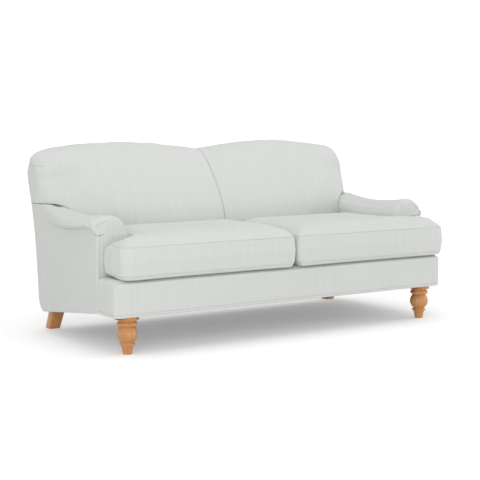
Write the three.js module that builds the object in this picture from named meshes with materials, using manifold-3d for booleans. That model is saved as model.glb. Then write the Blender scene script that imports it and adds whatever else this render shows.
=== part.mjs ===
import * as THREE from 'three';
import { mergeVertices } from 'three/addons/utils/BufferGeometryUtils.js';
import Module from 'manifold-3d';

const wasm = await Module();
wasm.setup();

// An English roll arm sofa with a camel back, two loose T-shaped seat cushions and turned front legs.
// Lengths are millimetres. +Z is up and the sofa faces -Y. Widths are measured from the middle plane,
// depths from the face of the front border and heights from the floor. Left and right are the viewer's.

// Clearances
const gap = 0.3;                // between two pieces that touch
const cushionPlay = 1;          // between a loose cushion and what stands beside it
const cutOver = 40;             // overrun of every cutter

// Body
const sidePlane = 951;          // middle plane to the outer face of an arm panel
const armWidth = 156;           // inner face to outer face of an arm
const armSetback = 177;         // front border to the front of an arm
const borderBottom = 171;       // floor to the underside of the front border
const borderHeight = 164;
const borderCorner = 28;        // rounding of the border's upright corners
const borderEdge = 20;          // rounding of the border's top edge
const coverDepth = 18;          // board, wadding and cloth of a covered face
const deckPad = 30;             // platform under the seat cushions
const undersideFall = 75;       // the underside falls this much from the arm front to the back
const seatDepth = 566;          // front border to the foot of the inside back
const backDepth = 257;          // foot of the inside back to the outer back's lower edge
const backLean = 50;            // steady lean of the outer back over its height
const flareDepth = 67;          // extra flare of the outer back at its upper edge
const headDepth = 4;            // outer back's upper edge to the rearmost point of the head roll
const crestHeight = 922;        // floor to the highest point of a lobe
const headFootShare = 0.402;    // how far up a lobe, above the arms, the head roll meets the outer back
const outerBackEdge = 14;       // rounding of the outer back's upright and lower edges

// Arm roll
const rollLow = 597;            // lowest point of the arm's top
const rollLowShare = 0.408;     // where it lies along the arm
const rollFrontRise = 20;
const rollBackRise = 33;
const rollBackPower = 1.7;
const rollBackInset = 43;       // outer back to where the roll has faded into the side panel
const rollOut = 31;             // how far the roll stands out past the panel
const rollFadeShare = 0.453;    // where along the arm the roll begins to fade
const rollNose = 30;            // rounding of the roll's front end
const rollShoulder = 46;        // top of the roll to its widest point
const rollInnerDepth = 90;      // top of the roll to where the inside runs straight down
const rollNeckDepth = 70;       // lowest point of the arm's top to that of the line under the roll
const rollNeckShare = 0.597;    // where that lies along the arm
const rollNeckFrontRise = 20;
const rollNeckBackRise = 35;
const rollMiddleShare = 0.57;   // where the top of the roll lies across the arm
const rollSquareness = 3;       // how much squarer the roll's corner is at its back end
const rollSteps = 5;
const noseInsideShare = 0.3;    // how much of the nose's rounding the inside of the arm takes
const noseShares = [0, 0.07, 0.2, 0.45, 1];
const rollDepthShares = [0.05, 0.12, 0.22, 0.33, 0.45, 0.57, 0.68, 0.79, 0.9, 1];
const neckTurn = 73;            // run over which the line under the roll turns down to the facing
const panelRiseRun = 20;        // run over which the side panel rises to the lobe
const panelSteps = 7;
const facingDrop = 17;          // line under the roll to the upper edge of the arm's front facing
const armPad = 45;              // padding inside an arm

// Back
const crestShare = 0.4595;      // where the highest point of a lobe lies across it
const valleyDrop = 40;          // from the crest down to the middle seam
const shoulderDrop = 33;        // and as far again from the middle, down towards the end
const endDrop = 72;             // highest point of a lobe to the top of its flat end
const shoulderRun = 151;        // run over which the top rounds over to the end
const lobeTurnShare = 0.473;    // where the front of a lobe starts to turn to its end
const seamPull = 20;            // depth of the valley at the middle seam
const seamRun = 45;             // how quickly the valley fades
const seamHalf = 0.5;           // half of the slit between the two lobes
const lobeFootRise = 29;        // lowest point of the arm's top to the lower edge of a lobe over it
const headPad = 60;             // padding over the top rail
const headCorner = 34;          // rounding of the head roll's rear corner
const rearTurnShare = 0.4;
const lobeSquareness = 1.9;
const lobeSteps = 2;
const lobeRearSteps = 3;
const topTurnFromShare = 0.75;  // share of the height where the end's rounding passes to the top's
const topTurnToShare = 0.97;

// A section of a lobe from its front foot over the crest and down behind: share of the back's depth at
// that height, and share of the height from the platform to the top of the section
const crestPoint = 10;
const lobeShares = [
  [0, 0], [0.0126, 0.196], [0.0314, 0.317], [0.0715, 0.433], [0.144, 0.532],
  [0.228, 0.63], [0.329, 0.734], [0.453, 0.837], [0.589, 0.929], [0.717, 0.98],
  [0.833, 1], [0.923, 0.985], [0.982, 0.929], [1, 0.835], [0.987, 0.71],
];
const lobeEndShares = [
  [0.882, 0], [0.855, 0.2], [0.837, 0.36], [0.822, 0.5], [0.808, 0.6],
  [0.795, 0.68], [0.7785, 0.755], [0.782, 0.83], [0.81, 0.905], [0.848, 0.97],
  [0.892, 1], [0.927, 0.99], [0.946, 0.95], [0.952, 0.89], [0.953, 0.82],
];
const lobeAcrossShares = [
  0, 0.008, 0.026, 0.063, 0.137, 0.264, 0.423, 0.55, 0.656,
  0.741, 0.804, 0.857, 0.899, 0.937, 0.965, 0.986, 0.9965, 1,
];

// Timber frame
const railThickness = 25;
const sideRailThickness = 32;
const postWidth = 45;
const postDepth = 45;
const topRailHeight = 142;      // of the top rail below the highest point of a lobe
const topRailSteps = 6;
const tackRailRise = 45;        // deck to the lower edge of a back tack rail
const tackRailHeight = 45;
const backRailHeight = 100;
const stumpDepth = 38;
const boardInset = 52;          // arm's inner face to the inner edge of the arm board
const boardThickness = 24;
const boardDrop = 22;           // lowest point of the arm's top to the top of the board
const armTackRailThickness = 25;
const armTackRailHeight = 40;
const crossRailWidth = 40;
const crossRailHeight = 60;
const crossRailDrop = 40;       // top of the rails to the top of the cross rail
const blockLength = 90;
const frontBlockHeight = 45;
const backBlockDepth = 47;
const blockChamfer = 40;
const dustClothThickness = 1.5;
const webbingThickness = 2;
const webbingRise = 10;         // deck to the lower edge of the webbing
const webbingDrop = 25;         // top rail to the upper edge of the webbing

// Seat springs
const springCount = 10;
const springWire = 4;
const springSwing = 25;         // half the width of the zigzag
const springBends = 16;
const stepsPerBend = 2;
const springTail = 8;           // straight end past the last bend

// Legs
const frontLegInset = 60;       // front border to the middle of a front leg
const frontLegSideInset = 87;   // outer face of an arm to the middle of a front leg
const legGirth = 112;           // the widest turning
const backLegTopWidth = 65;
const backLegTopDepth = 58;
const backLegFootWidth = 59;
const backLegFootDepth = 51;
const backLegSideInset = 85;
const backLegInset = 32;        // outer back to the middle of a back leg's top
const backLegRake = 53;
const boltDiameter = 8;
const boltInLeg = 25;
const boltInBlock = 30;
const insertDiameter = 12;
const insertLength = 14;
const insertWall = 1.7;
const legChamfer = 4;           // edges of a back leg
const turningSides = 20;
const boltSides = 10;

// The front leg's turning from the floor up: share of the largest radius and share of the height
const legShares = [
  [0, 0], [0.372, 0], [0.382, 0.018], [0.478, 0.225], [0.5, 0.24], [0.585, 0.25], [0.625, 0.29],
  [0.6, 0.335], [0.56, 0.35], [0.585, 0.372], [0.7, 0.41], [0.79, 0.475], [0.8375, 0.575],
  [0.815, 0.66], [0.745, 0.725], [0.69, 0.76], [0.68, 0.78], [0.74, 0.79], [0.8, 0.83],
  [0.835, 0.88], [0.81, 0.915], [0.79, 0.93], [0.86, 0.945], [1, 0.975], [1, 1], [0, 1],
];

// Seat cushions
const cushionOverhang = 18;     // cushion seam past the front border
const earInset = 15;            // outer face of an arm to the seam at the end of the ear
const cushionMiddleGap = 0.8;   // middle plane to the widest part of the cushion
const boxingLow = 17;           // deck to the lower seam
const boxingHigh = 146;         // deck to the upper seam
const boxingBulge = 10;
const underTuckShare = 0.8;     // how far the flat underside lies inside the lower seam
const boxingShares = [0.2, 0.5, 0.8];
const crownShares = [0.97, 0.91, 0.82, 0.68, 0.5, 0.3, 0.1];
const crownMiddleShare = 0.43;  // the point that the crown's rings close on, across the cushion
const crownFrontShare = 0.8;    // and back from the border, as a share of the arm's setback
const crownRise = 55;
const crownRun = 120;           // from the seam to where the crown is level
const crownPower = 2.5;
const sidePull = 6;             // how far the sides pull in between the corners
const cushionBackPlay = 2;      // cushion's boxing to the inside back
const noseCorner = 60;
const smallCorner = 24;
const notchRadius = 6;          // where the cushion turns round the arm's front corner
const cushionStep = 90;
const cornerSteps = 4;

// Places worked out from the sizes
const borderTop = borderBottom + borderHeight;
const backFoot = seatDepth + backDepth;
const backFootHeight = borderBottom - undersideFall;
const headReach = backFoot + backLean + flareDepth + headDepth;
const armInner = sidePlane - armWidth;
const rollBackAt = backFoot - rollBackInset;
const armRun = rollBackAt - armSetback;
const rollLowAt = armSetback + armRun * rollLowShare;
const rollFadeAt = armSetback + armRun * rollFadeShare;
const rollNeckAt = armSetback + armRun * rollNeckShare;
const rollNeckLow = rollLow - rollNeckDepth;
const facingTop = rollNeckLow - facingDrop;
const crestAt = sidePlane * crestShare;
const shoulderHeight = crestHeight - endDrop;
const shoulderStart = sidePlane - shoulderRun;
const lobeTurn = sidePlane * lobeTurnShare;
const lobeFoot = rollLow + lobeFootRise;
const panelTop = lobeFoot + (crestHeight - lobeFoot) * headFootShare;
const outerBackHeight = panelTop - backFootHeight;
const topRailBottom = crestHeight - headPad - topRailHeight;
const frontLegOut = sidePlane - frontLegSideInset;
const backLegOut = sidePlane - backLegSideInset;
const backLegTopAt = backFoot - backLegInset;
const cushionReach = sidePlane - earInset;
const frameSide = sidePlane - coverDepth - gap;
const postInner = frameSide - postWidth;
const deckBottom = borderTop - deckPad;
const springLevel = deckBottom - gap - springWire / 2;
const railTop = springLevel - gap - springWire / 2;

// Heights and depths of the shaped faces
function underside(y) {
  const fallShare = (y - armSetback) / (backFoot - coverDepth - armSetback);
  return borderBottom - undersideFall * Math.max(0, fallShare);
}

function frameFloor(y) {
  return underside(y) + dustClothThickness + gap;
}

function outerBack(z) {
  const riseShare = (z - backFootHeight) / outerBackHeight;
  return backFoot + backLean * riseShare + flareDepth * riseShare ** 3;
}

// The heights at which the outer back and what lies against it bend
const backBends = [backFootHeight, backFootHeight + outerBackEdge];
for (let k = 1; k <= panelSteps; k += 1) {
  backBends.push(backBends[1] + ((lobeFoot - backBends[1]) * k) / panelSteps);
}
for (let k = 1; k <= lobeRearSteps; k += 1) {
  backBends.push(lobeFoot + ((panelTop - lobeFoot) * k) / lobeRearSteps);
}

// The frame of the back is straight, and touches the curved outer back where this share of its height is
const touchShare = 0.56;
const frameSlopeShare = (backLean + 3 * flareDepth * touchShare ** 2) / outerBackHeight;
const touchHeight = backFootHeight + outerBackHeight * touchShare;

function frameRear(z) {
  return outerBack(touchHeight) - coverDepth - gap + frameSlopeShare * (z - touchHeight);
}

function frameFront(z) {
  return frameRear(z) - postDepth;
}

// The depth at which a leaning face meets the floor of the frame, found in a few rounds
const floorRounds = 4;

function meetsFloor(face) {
  let y = face(borderBottom);
  for (let round = 0; round < floorRounds; round += 1) {
    y = face(frameFloor(y));
  }
  return y;
}

function crest(x) {
  const away = (Math.abs(x) - crestAt) / crestAt;
  return crestHeight - (away < 0 ? valleyDrop : shoulderDrop) * away ** 2;
}

function easeShare(value, from, to) {
  const share = Math.min(1, Math.max(0, (value - from) / (to - from)));
  return share * share * (3 - 2 * share);
}

function roundOverShare(value, from, to, squareness) {
  const share = Math.min(1, Math.max(0, (value - from) / (to - from)));
  return 1 - (1 - share ** squareness) ** (1 / squareness);
}

// Solids
const flatShare = 1e-6;         // corners flatter than this are taken as straight

function outward(geometry) {
  const points = geometry.attributes.position;
  const faces = geometry.index.array;
  const corner = [new THREE.Vector3(), new THREE.Vector3(), new THREE.Vector3()];
  let volume = 0;
  for (let f = 0; f < faces.length; f += 3) {
    corner.forEach((point, k) => point.fromBufferAttribute(points, faces[f + k]));
    volume += corner[0].dot(corner[1].cross(corner[2]));
  }
  if (volume < 0) {
    for (let f = 0; f < faces.length; f += 3) {
      [faces[f], faces[f + 1]] = [faces[f + 1], faces[f]];
    }
  }
  return geometry;
}

// The triangles of a flat outline, anticlockwise, clipped corner by corner with the bluntest first.
// Points along a straight run keep their place, so an end fits the sides of its solid point for point.
function endTriangles(outline) {
  const order = outline.map((point, k) => k);
  if (THREE.ShapeUtils.area(outline) < 0) {
    order.reverse();
  }
  const area = (...corners) => THREE.ShapeUtils.area(corners.map((corner) => outline[corner]));
  const triangles = [];
  while (order.length > 3) {
    let best = { quality: 0 };
    order.forEach((tip, k) => {
      const before = order[(k + order.length - 1) % order.length];
      const after = order[(k + 1) % order.length];
      const base = outline[before].distanceToSquared(outline[after]);
      const quality = area(before, tip, after) / base;
      const covers = (other) => ![before, tip, after].includes(other)
        && area(before, tip, other) >= -flatShare * base
        && area(tip, after, other) >= -flatShare * base
        && area(after, before, other) >= -flatShare * base;
      if (quality > Math.max(best.quality, flatShare) && !order.some(covers)) {
        best = { quality, k, triangle: [before, tip, after] };
      }
    });
    triangles.push(best.triangle);
    order.splice(best.k, 1);
  }
  return [...triangles, order];
}

// A closed solid through rings of points, with a flat end on the first and on the last ring.
// The view turns a point of an end ring into its place on that end's plane.
function loft(rings, view) {
  const size = rings[0].length;
  const faces = [];
  for (let r = 0; r + 1 < rings.length; r += 1) {
    for (let i = 0; i < size; i += 1) {
      const next = (i + 1) % size;
      const here = r * size;
      const there = here + size;
      faces.push(here + i, here + next, there + next, here + i, there + next, there + i);
    }
  }
  for (const [ring, forwards] of [[0, false], [rings.length - 1, true]]) {
    const outline = rings[ring].map(view);
    const same = THREE.ShapeUtils.area(outline) > 0;
    for (const [a, b, c] of endTriangles(outline)) {
      const triangle = same === forwards ? [a, b, c] : [b, a, c];
      faces.push(...triangle.map((corner) => ring * size + corner));
    }
  }
  const geometry = new THREE.BufferGeometry();
  const points = rings.flat().flatMap((point) => [point.x, point.y, point.z]);
  geometry.setAttribute('position', new THREE.Float32BufferAttribute(points, 3));
  geometry.setIndex(faces);
  return outward(geometry);
}

const fromSide = (point) => new THREE.Vector2(point.y, point.z);
const fromFront = (point) => new THREE.Vector2(point.x, point.z);
const fromAbove = (point) => new THREE.Vector2(point.x, point.y);

// A prism across the sofa, from an outline of depths and heights
function acrossPrism(x0, x1, outline) {
  const rings = [x0, x1].map((x) => outline.map(([y, z]) => new THREE.Vector3(x, y, z)));
  return loft(rings, fromSide);
}

function uprightPrism(z0, z1, outline) {
  const rings = [z0, z1].map((z) => outline.map(([x, y]) => new THREE.Vector3(x, y, z)));
  return loft(rings, fromAbove);
}

function block(x0, x1, y0, y1, z0, z1) {
  return uprightPrism(z0, z1, [[x0, y0], [x1, y0], [x1, y1], [x0, y1]]);
}

function solidOf(geometry) {
  const bare = geometry.clone();
  bare.deleteAttribute('normal');
  bare.deleteAttribute('uv');
  const merged = mergeVertices(bare);
  const mesh = new wasm.Mesh({
    numProp: 3,
    vertProperties: merged.attributes.position.array,
    triVerts: merged.index.array,
  });
  return new wasm.Manifold(mesh);
}

function cut(geometry, ...cutters) {
  let solid = solidOf(geometry);
  for (const cutter of cutters) {
    solid = solid.subtract(solidOf(cutter));
  }
  const mesh = solid.getMesh();
  const result = new THREE.BufferGeometry();
  result.setAttribute('position', new THREE.Float32BufferAttribute(mesh.vertProperties, 3));
  result.setIndex([...mesh.triVerts]);
  return result;
}

function mirrored(geometry) {
  const copy = geometry.clone();
  copy.scale(-1, 1, 1);
  return outward(copy);
}

function turned(profile, sides, x, y, z) {
  const points = profile.map(([radius, height]) => new THREE.Vector2(radius, height));
  const geometry = new THREE.LatheGeometry(points, sides);
  geometry.rotateX(Math.PI / 2);
  geometry.translate(x, y, z);
  return geometry;
}

// A share table drawn as a smooth line, with so many steps to each of its stretches
function smoothShares(shares, steps) {
  const points = shares.map(([u, v]) => new THREE.Vector2(u, v));
  return new THREE.SplineCurve(points).getPoints((shares.length - 1) * steps);
}

// Finishes
const finishes = {
  cloth: { color: '#d6d8d5', roughness: 0.95, metalness: 0 },
  turnedWood: { color: '#b98a5e', roughness: 0.5, metalness: 0 },
  frameWood: { color: '#d9bf95', roughness: 0.8, metalness: 0 },
  steel: { color: '#a9adb0', roughness: 0.35, metalness: 1 },
  springSteel: { color: '#5d6164', roughness: 0.45, metalness: 1 },
  platformCloth: { color: '#e3ddcf', roughness: 0.95, metalness: 0 },
  dustCloth: { color: '#2f3032', roughness: 0.95, metalness: 0 },
  jute: { color: '#b89f74', roughness: 0.95, metalness: 0 },
};

const sofa = new THREE.Group();

function place(name, geometry, finish) {
  const mesh = new THREE.Mesh(geometry, new THREE.MeshStandardMaterial(finishes[finish]));
  mesh.name = name;
  sofa.add(mesh);
}

// The geometry is that of the right piece, and the left one is its mirror image
function placePair(name, geometry, finish) {
  place(`right_${name}`, geometry, finish);
  place(`left_${name}`, mirrored(geometry), finish);
}

// Timber whose front and rear faces follow the lean of the back
function leaningTimber(x0, x1, z0, z1) {
  return acrossPrism(x0, x1, [
    [frameFront(z0), z0],
    [frameRear(z0), z0],
    [frameRear(z1), z1],
    [frameFront(z1), z1],
  ]);
}

function addSeatFrame() {
  const frontRailRear = coverDepth + gap + railThickness;
  const frontRailFloor = borderBottom + dustClothThickness + gap;
  const backRailBottom = railTop - backRailHeight;
  place(
    'front_rail',
    block(-frameSide, frameSide, coverDepth + gap, frontRailRear, frontRailFloor, railTop),
    'frameWood',
  );
  const backRail = leaningTimber(-postInner + gap, postInner - gap, backRailBottom, railTop);
  place('back_rail', backRail, 'frameWood');
  const railFront = frontRailRear + gap;
  const floorCorner = meetsFloor(frameFront) - gap;
  const sideRail = acrossPrism(frameSide - sideRailThickness, frameSide, [
    [railFront, frameFloor(railFront)],
    [armSetback, frameFloor(armSetback)],
    [floorCorner, frameFloor(floorCorner)],
    [frameFront(railTop) - gap, railTop],
    [railFront, railTop],
  ]);
  placePair('side_rail', sideRail, 'frameWood');
  const crossTop = railTop - crossRailDrop;
  const crossBottom = crossTop - crossRailHeight;
  const crossRail = acrossPrism(-crossRailWidth / 2, crossRailWidth / 2, [
    [railFront, crossBottom],
    [frameFront(crossBottom) - gap, crossBottom],
    [frameFront(crossTop) - gap, crossTop],
    [railFront, crossTop],
  ]);
  place('centre_cross_rail', crossRail, 'frameWood');
}

// The top rail rises with the crest. A clearance makes the space that the padding leaves for it.
function topRail(firstStep, clearance, frontClearance) {
  const rings = [];
  for (let k = firstStep; k <= topRailSteps; k += 1) {
    const x = (frameSide * k) / topRailSteps + (k === topRailSteps ? clearance : 0);
    const low = topRailBottom - clearance;
    const high = crest(x) - headPad + clearance;
    rings.push([
      new THREE.Vector3(x, frameFront(low) - frontClearance, low),
      new THREE.Vector3(x, frameRear(low) + clearance, low),
      new THREE.Vector3(x, frameRear(high) + clearance, high),
      new THREE.Vector3(x, frameFront(high) - frontClearance, high),
    ]);
  }
  return loft(rings, fromSide);
}

function addBackFrame() {
  const postTop = topRailBottom - gap;
  const postFront = meetsFloor(frameFront);
  const postRear = meetsFloor(frameRear);
  const post = acrossPrism(postInner, frameSide, [
    [postFront, frameFloor(postFront)],
    [postRear, frameFloor(postRear)],
    [frameRear(postTop), postTop],
    [frameFront(postTop), postTop],
  ]);
  placePair('back_post', post, 'frameWood');
  const centrePost = leaningTimber(-postWidth / 2, postWidth / 2, railTop + gap, postTop);
  place('centre_back_post', centrePost, 'frameWood');
  place('top_back_rail', topRail(-topRailSteps, 0, 0), 'frameWood');
  const tackRail = leaningTimber(
    postWidth / 2 + gap,
    postInner - gap,
    borderTop + tackRailRise,
    borderTop + tackRailRise + tackRailHeight,
  );
  placePair('back_tack_rail', tackRail, 'frameWood');
  const webbingFoot = borderTop + webbingRise;
  const webbingTop = topRailBottom - webbingDrop;
  const webbing = acrossPrism(gap, armInner - gap, [
    [frameFront(webbingFoot) - gap - webbingThickness, webbingFoot],
    [frameFront(webbingFoot) - gap, webbingFoot],
    [frameFront(webbingTop) - gap, webbingTop],
    [frameFront(webbingTop) - gap - webbingThickness, webbingTop],
  ]);
  placePair('back_webbing', webbing, 'jute');
}

function addSprings() {
  const spacing = (2 * armInner) / springCount;
  const front = coverDepth + gap + railThickness / 2;
  const back = frameFront(railTop) + postDepth / 2;
  const pitch = (back - front - 2 * springTail) / springBends;
  const half = springWire / 2;
  const section = new THREE.Shape([
    new THREE.Vector2(-half, -half),
    new THREE.Vector2(half, -half),
    new THREE.Vector2(half, half),
    new THREE.Vector2(-half, half),
  ]);
  for (let s = 0; s < springCount; s += 1) {
    const middle = -armInner + spacing * (s + 0.5);
    const points = [new THREE.Vector3(middle, front, springLevel)];
    for (let k = 0; k < springBends; k += 1) {
      const side = k % 2 === 0 ? springSwing : -springSwing;
      const y = front + springTail + pitch * (k + 0.5);
      points.push(new THREE.Vector3(middle + side, y, springLevel));
    }
    points.push(new THREE.Vector3(middle, back, springLevel));
    const extrudePath = new THREE.CatmullRomCurve3(points);
    const steps = springBends * stepsPerBend;
    const spring = new THREE.ExtrudeGeometry(section, { steps, extrudePath, bevelEnabled: false });
    place(`seat_spring_${s + 1}`, spring, 'springSteel');
  }
}

function addDeck() {
  const deck = acrossPrism(-armInner + gap, armInner - gap, [
    [armSetback + gap, deckBottom],
    [frameFront(deckBottom) - gap, deckBottom],
    [frameFront(borderTop) - gap, borderTop],
    [armSetback + gap, borderTop],
  ]);
  place('seat_deck', deck, 'platformCloth');
}

// One level of the border: a rectangle whose front corners are round, drawn in by so much
function borderRing(z, inset) {
  const side = sidePlane - inset;
  const rear = armSetback - gap;
  const radius = borderCorner - inset;
  const centre = [side - radius, inset + radius];
  const ring = [];
  for (let k = 0; k <= cornerSteps; k += 1) {
    const angle = (Math.PI / 2) * (k / cornerSteps);
    ring.push([centre[0] + radius * Math.sin(angle), centre[1] - radius * Math.cos(angle)]);
  }
  ring.push([side, rear]);
  const left = ring.map(([x, y]) => [-x, y]).reverse();
  return [...ring, ...left].map(([x, y]) => new THREE.Vector3(x, y, z));
}

function addBorder() {
  const rings = [borderRing(borderBottom, 0)];
  for (let k = 0; k <= cornerSteps; k += 1) {
    const angle = (Math.PI / 2) * (k / cornerSteps);
    const drop = borderEdge * (1 - Math.sin(angle));
    rings.push(borderRing(borderTop - drop, borderEdge * (1 - Math.cos(angle))));
  }
  const hollow = block(
    -sidePlane + coverDepth,
    sidePlane - coverDepth,
    coverDepth,
    armSetback + cutOver,
    borderBottom - cutOver,
    deckBottom,
  );
  place('front_border', cut(loft(rings, fromAbove), hollow), 'cloth');
}

// The line under the roll, which turns down to the front facing at its front end
function rollNeck(y) {
  const frontShare = Math.max(0, (rollNeckAt - y) / (rollNeckAt - armSetback));
  const backShare = Math.min(1, Math.max(0, (y - rollNeckAt) / (rollBackAt - rollNeckAt)));
  const line = rollNeckLow + rollNeckFrontRise * frontShare ** 2 + rollNeckBackRise * backShare ** 2;
  const turnShare = Math.min(1, (y - armSetback) / neckTurn);
  return facingTop + (line - facingTop) * Math.max(0, turnShare);
}

function rollTop(y) {
  const frontShare = Math.max(0, (rollLowAt - y) / (rollLowAt - armSetback));
  const backShare = Math.min(1, Math.max(0, (y - rollLowAt) / (rollBackAt - rollLowAt)));
  return rollLow + rollFrontRise * frontShare ** 2 + rollBackRise * backShare ** rollBackPower;
}

// The outline of the arm at one depth, up its inside, over the roll and down its outside
function armRing(y, grow) {
  const noseShare = Math.min(1, (y - armSetback) / rollNose);
  const inset = rollNose * (1 - Math.sqrt(1 - (1 - noseShare) ** 2));
  const fade = easeShare(y, rollFadeAt, rollBackAt);
  const low = deckBottom - grow;
  const inner = armInner - grow + inset * noseInsideShare;
  const top = rollTop(y) + grow - inset;
  const bend = rollTop(y) - rollInnerDepth;
  const middle = armInner + armWidth * rollMiddleShare;
  const panel = sidePlane + grow;
  const outer = panel + rollOut * (1 - fade) - inset * (1 - fade);
  const wide = rollTop(y) - rollShoulder;
  const neck = rollNeck(y);
  const power = 2 / (2 + rollSquareness * fade);
  const ring = [[inner, low], [inner, (low + bend) / 2], [inner, bend]];
  for (let k = 1; k <= rollSteps; k += 1) {
    const angle = (Math.PI / 2) * (k / rollSteps);
    ring.push([middle - (middle - inner) * Math.cos(angle), bend + (top - bend) * Math.sin(angle)]);
  }
  for (let k = 1; k <= rollSteps; k += 1) {
    const angle = (Math.PI / 2) * (k / rollSteps);
    const rise = Math.max(0, Math.cos(angle)) ** power;
    ring.push([middle + (outer - middle) * Math.sin(angle) ** power, wide + (top - wide) * rise]);
  }
  for (let k = 1; k <= rollSteps; k += 1) {
    const angle = (Math.PI / 2) * (k / rollSteps);
    ring.push([panel + (outer - panel) * Math.cos(angle), wide - (wide - neck) * Math.sin(angle)]);
  }
  ring.push([panel, (neck + low) / 2], [panel, low]);
  return ring.map(([x, z]) => new THREE.Vector3(x, y, z));
}

function armShape(grow) {
  const depths = noseShares.map((share) => armSetback + rollNose * share);
  const reach = headReach + cutOver;
  const runs = rollDepthShares.map((share) => armSetback + rollNose + (rollBackAt - armSetback) * share);
  const rings = [...depths, ...runs, reach].map((y) => armRing(y, grow));
  return loft(rings, fromFront);
}

// The side panel of an arm. A clearance makes the space that the roll leaves for it.
function panelOutline(clearance) {
  const rear = (z) => outerBack(z) - coverDepth - gap;
  const top = lobeFoot - gap;
  const outline = [
    [armSetback - clearance, borderBottom - clearance],
    [armSetback, borderBottom - clearance],
    [rear(backFootHeight), backFootHeight - clearance],
    ...backBends.filter((z) => z > backFootHeight && z < top).map((z) => [rear(z), z]),
    [rear(top), top + clearance],
    [rollBackAt + panelRiseRun - clearance, top + clearance],
  ];
  for (let k = 0; k <= panelSteps; k += 1) {
    const y = rollBackAt + ((armSetback - rollBackAt) * k) / panelSteps;
    outline.push([y - clearance, rollNeck(y) + clearance]);
  }
  return outline.filter(([y, z], k) => {
    const [before, beforeZ] = outline[(k + outline.length - 1) % outline.length];
    return Math.hypot(y - before, z - beforeZ) > gap / 2;
  });
}

function addArms() {
  const facingRear = armSetback + coverDepth;
  const padOuter = armInner + armPad;
  const stumpFront = facingRear + gap;
  const boardTop = rollLow - boardDrop;
  const boardBottom = boardTop - boardThickness;
  const boardInner = armInner + boardInset;
  const boardOutline = (clearance) => [
    [stumpFront - clearance, boardBottom - clearance],
    [frameFront(boardBottom) - gap + clearance, boardBottom - clearance],
    [frameFront(boardTop) - gap + clearance, boardTop + clearance],
    [stumpFront - clearance, boardTop + clearance],
  ];
  const behind = headReach + 2 * cutOver;
  const beside = sidePlane + rollOut + cutOver;
  const highCut = rollLow + rollBackRise + cutOver;
  const lowCut = deckBottom - cutOver;
  const panelSpace = acrossPrism(frameSide, beside, panelOutline(gap));
  const underPanel = block(frameSide, beside, armSetback - cutOver, behind, lowCut, facingTop);
  const facingSpace = block(
    armInner - cutOver,
    beside,
    armSetback - cutOver,
    facingRear + gap,
    lowCut,
    facingTop + gap,
  );
  const cavity = block(padOuter, frameSide + gap, facingRear, behind, lowCut, boardBottom);
  const boardSpace = acrossPrism(boardInner - gap, frameSide + gap, boardOutline(gap));
  const behindFrame = acrossPrism(armInner - cutOver, beside, [
    [frameFront(lowCut) - gap, lowCut],
    [behind, lowCut],
    [behind, highCut],
    [frameFront(highCut) - gap, highCut],
  ]);
  const pad = cut(armShape(0), panelSpace, underPanel, facingSpace, cavity, boardSpace, behindFrame);
  placePair('arm_pad', pad, 'cloth');
  placePair('outer_arm_panel', acrossPrism(sidePlane - coverDepth, sidePlane, panelOutline(0)), 'cloth');
  const facing = block(armInner, frameSide, armSetback, facingRear, railTop + gap, facingTop);
  placePair('arm_facing', facing, 'cloth');
  placePair('arm_board', acrossPrism(boardInner, frameSide, boardOutline(0)), 'frameWood');
  const stumpRear = stumpFront + stumpDepth;
  const stump = block(padOuter + gap, frameSide, stumpFront, stumpRear, railTop + gap, boardBottom - gap);
  placePair('arm_stump', stump, 'frameWood');
  const tackTop = deckBottom + armTackRailHeight;
  const tackRail = acrossPrism(padOuter + gap, padOuter + gap + armTackRailThickness, [
    [stumpRear + gap, deckBottom],
    [frameFront(deckBottom) - gap, deckBottom],
    [frameFront(tackTop) - gap, tackTop],
    [stumpRear + gap, tackTop],
  ]);
  placePair('arm_tack_rail', tackRail, 'frameWood');
}

// The rearmost depth of the back at a height
function lobeRear(z) {
  return outerBack(Math.min(z, panelTop)) + headDepth;
}

// One section of a lobe of the back, a distance out from the middle seam
function lobeRing(x, middle, end) {
  const base = borderTop + gap;
  const frontTurn = roundOverShare(x, lobeTurn, sidePlane, lobeSquareness);
  const topTurn = roundOverShare(x, shoulderStart, sidePlane, 2);
  const rearTurn = roundOverShare(x, sidePlane - headCorner, sidePlane, 2);
  const valley = seamPull * Math.exp(-x / seamRun);
  const crestIndex = crestPoint * lobeSteps;
  const ring = middle.map((point, k) => {
    const turnUp = easeShare(point.y, topTurnFromShare, topTurnToShare);
    const front = frontTurn + (topTurn - frontTurn) * turnUp;
    const behindCrest = k > crestIndex;
    const dip = behindCrest ? 0 : valley * (1 - point.x / middle[crestIndex].x);
    const z = base + (crest(x) - base) * point.y;
    const y = seatDepth + (lobeRear(z) - seatDepth) * point.x + Math.max(0, dip);
    const endZ = base + (shoulderHeight - base) * end[k].y;
    const endY = seatDepth + (lobeRear(endZ) - seatDepth) * end[k].x;
    const turnY = behindCrest ? rearTurn : front;
    const turnZ = behindCrest ? topTurn : front;
    return new THREE.Vector3(x, y + (endY - y) * turnY, z + (endZ - z) * turnZ);
  });
  const last = ring[ring.length - 1].z;
  for (let k = 1; k <= lobeRearSteps; k += 1) {
    const z = last + ((base - last) * k) / lobeRearSteps;
    ring.push(new THREE.Vector3(x, outerBack(z) - headCorner * rearTurn * rearTurnShare, z));
  }
  return ring;
}

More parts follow.
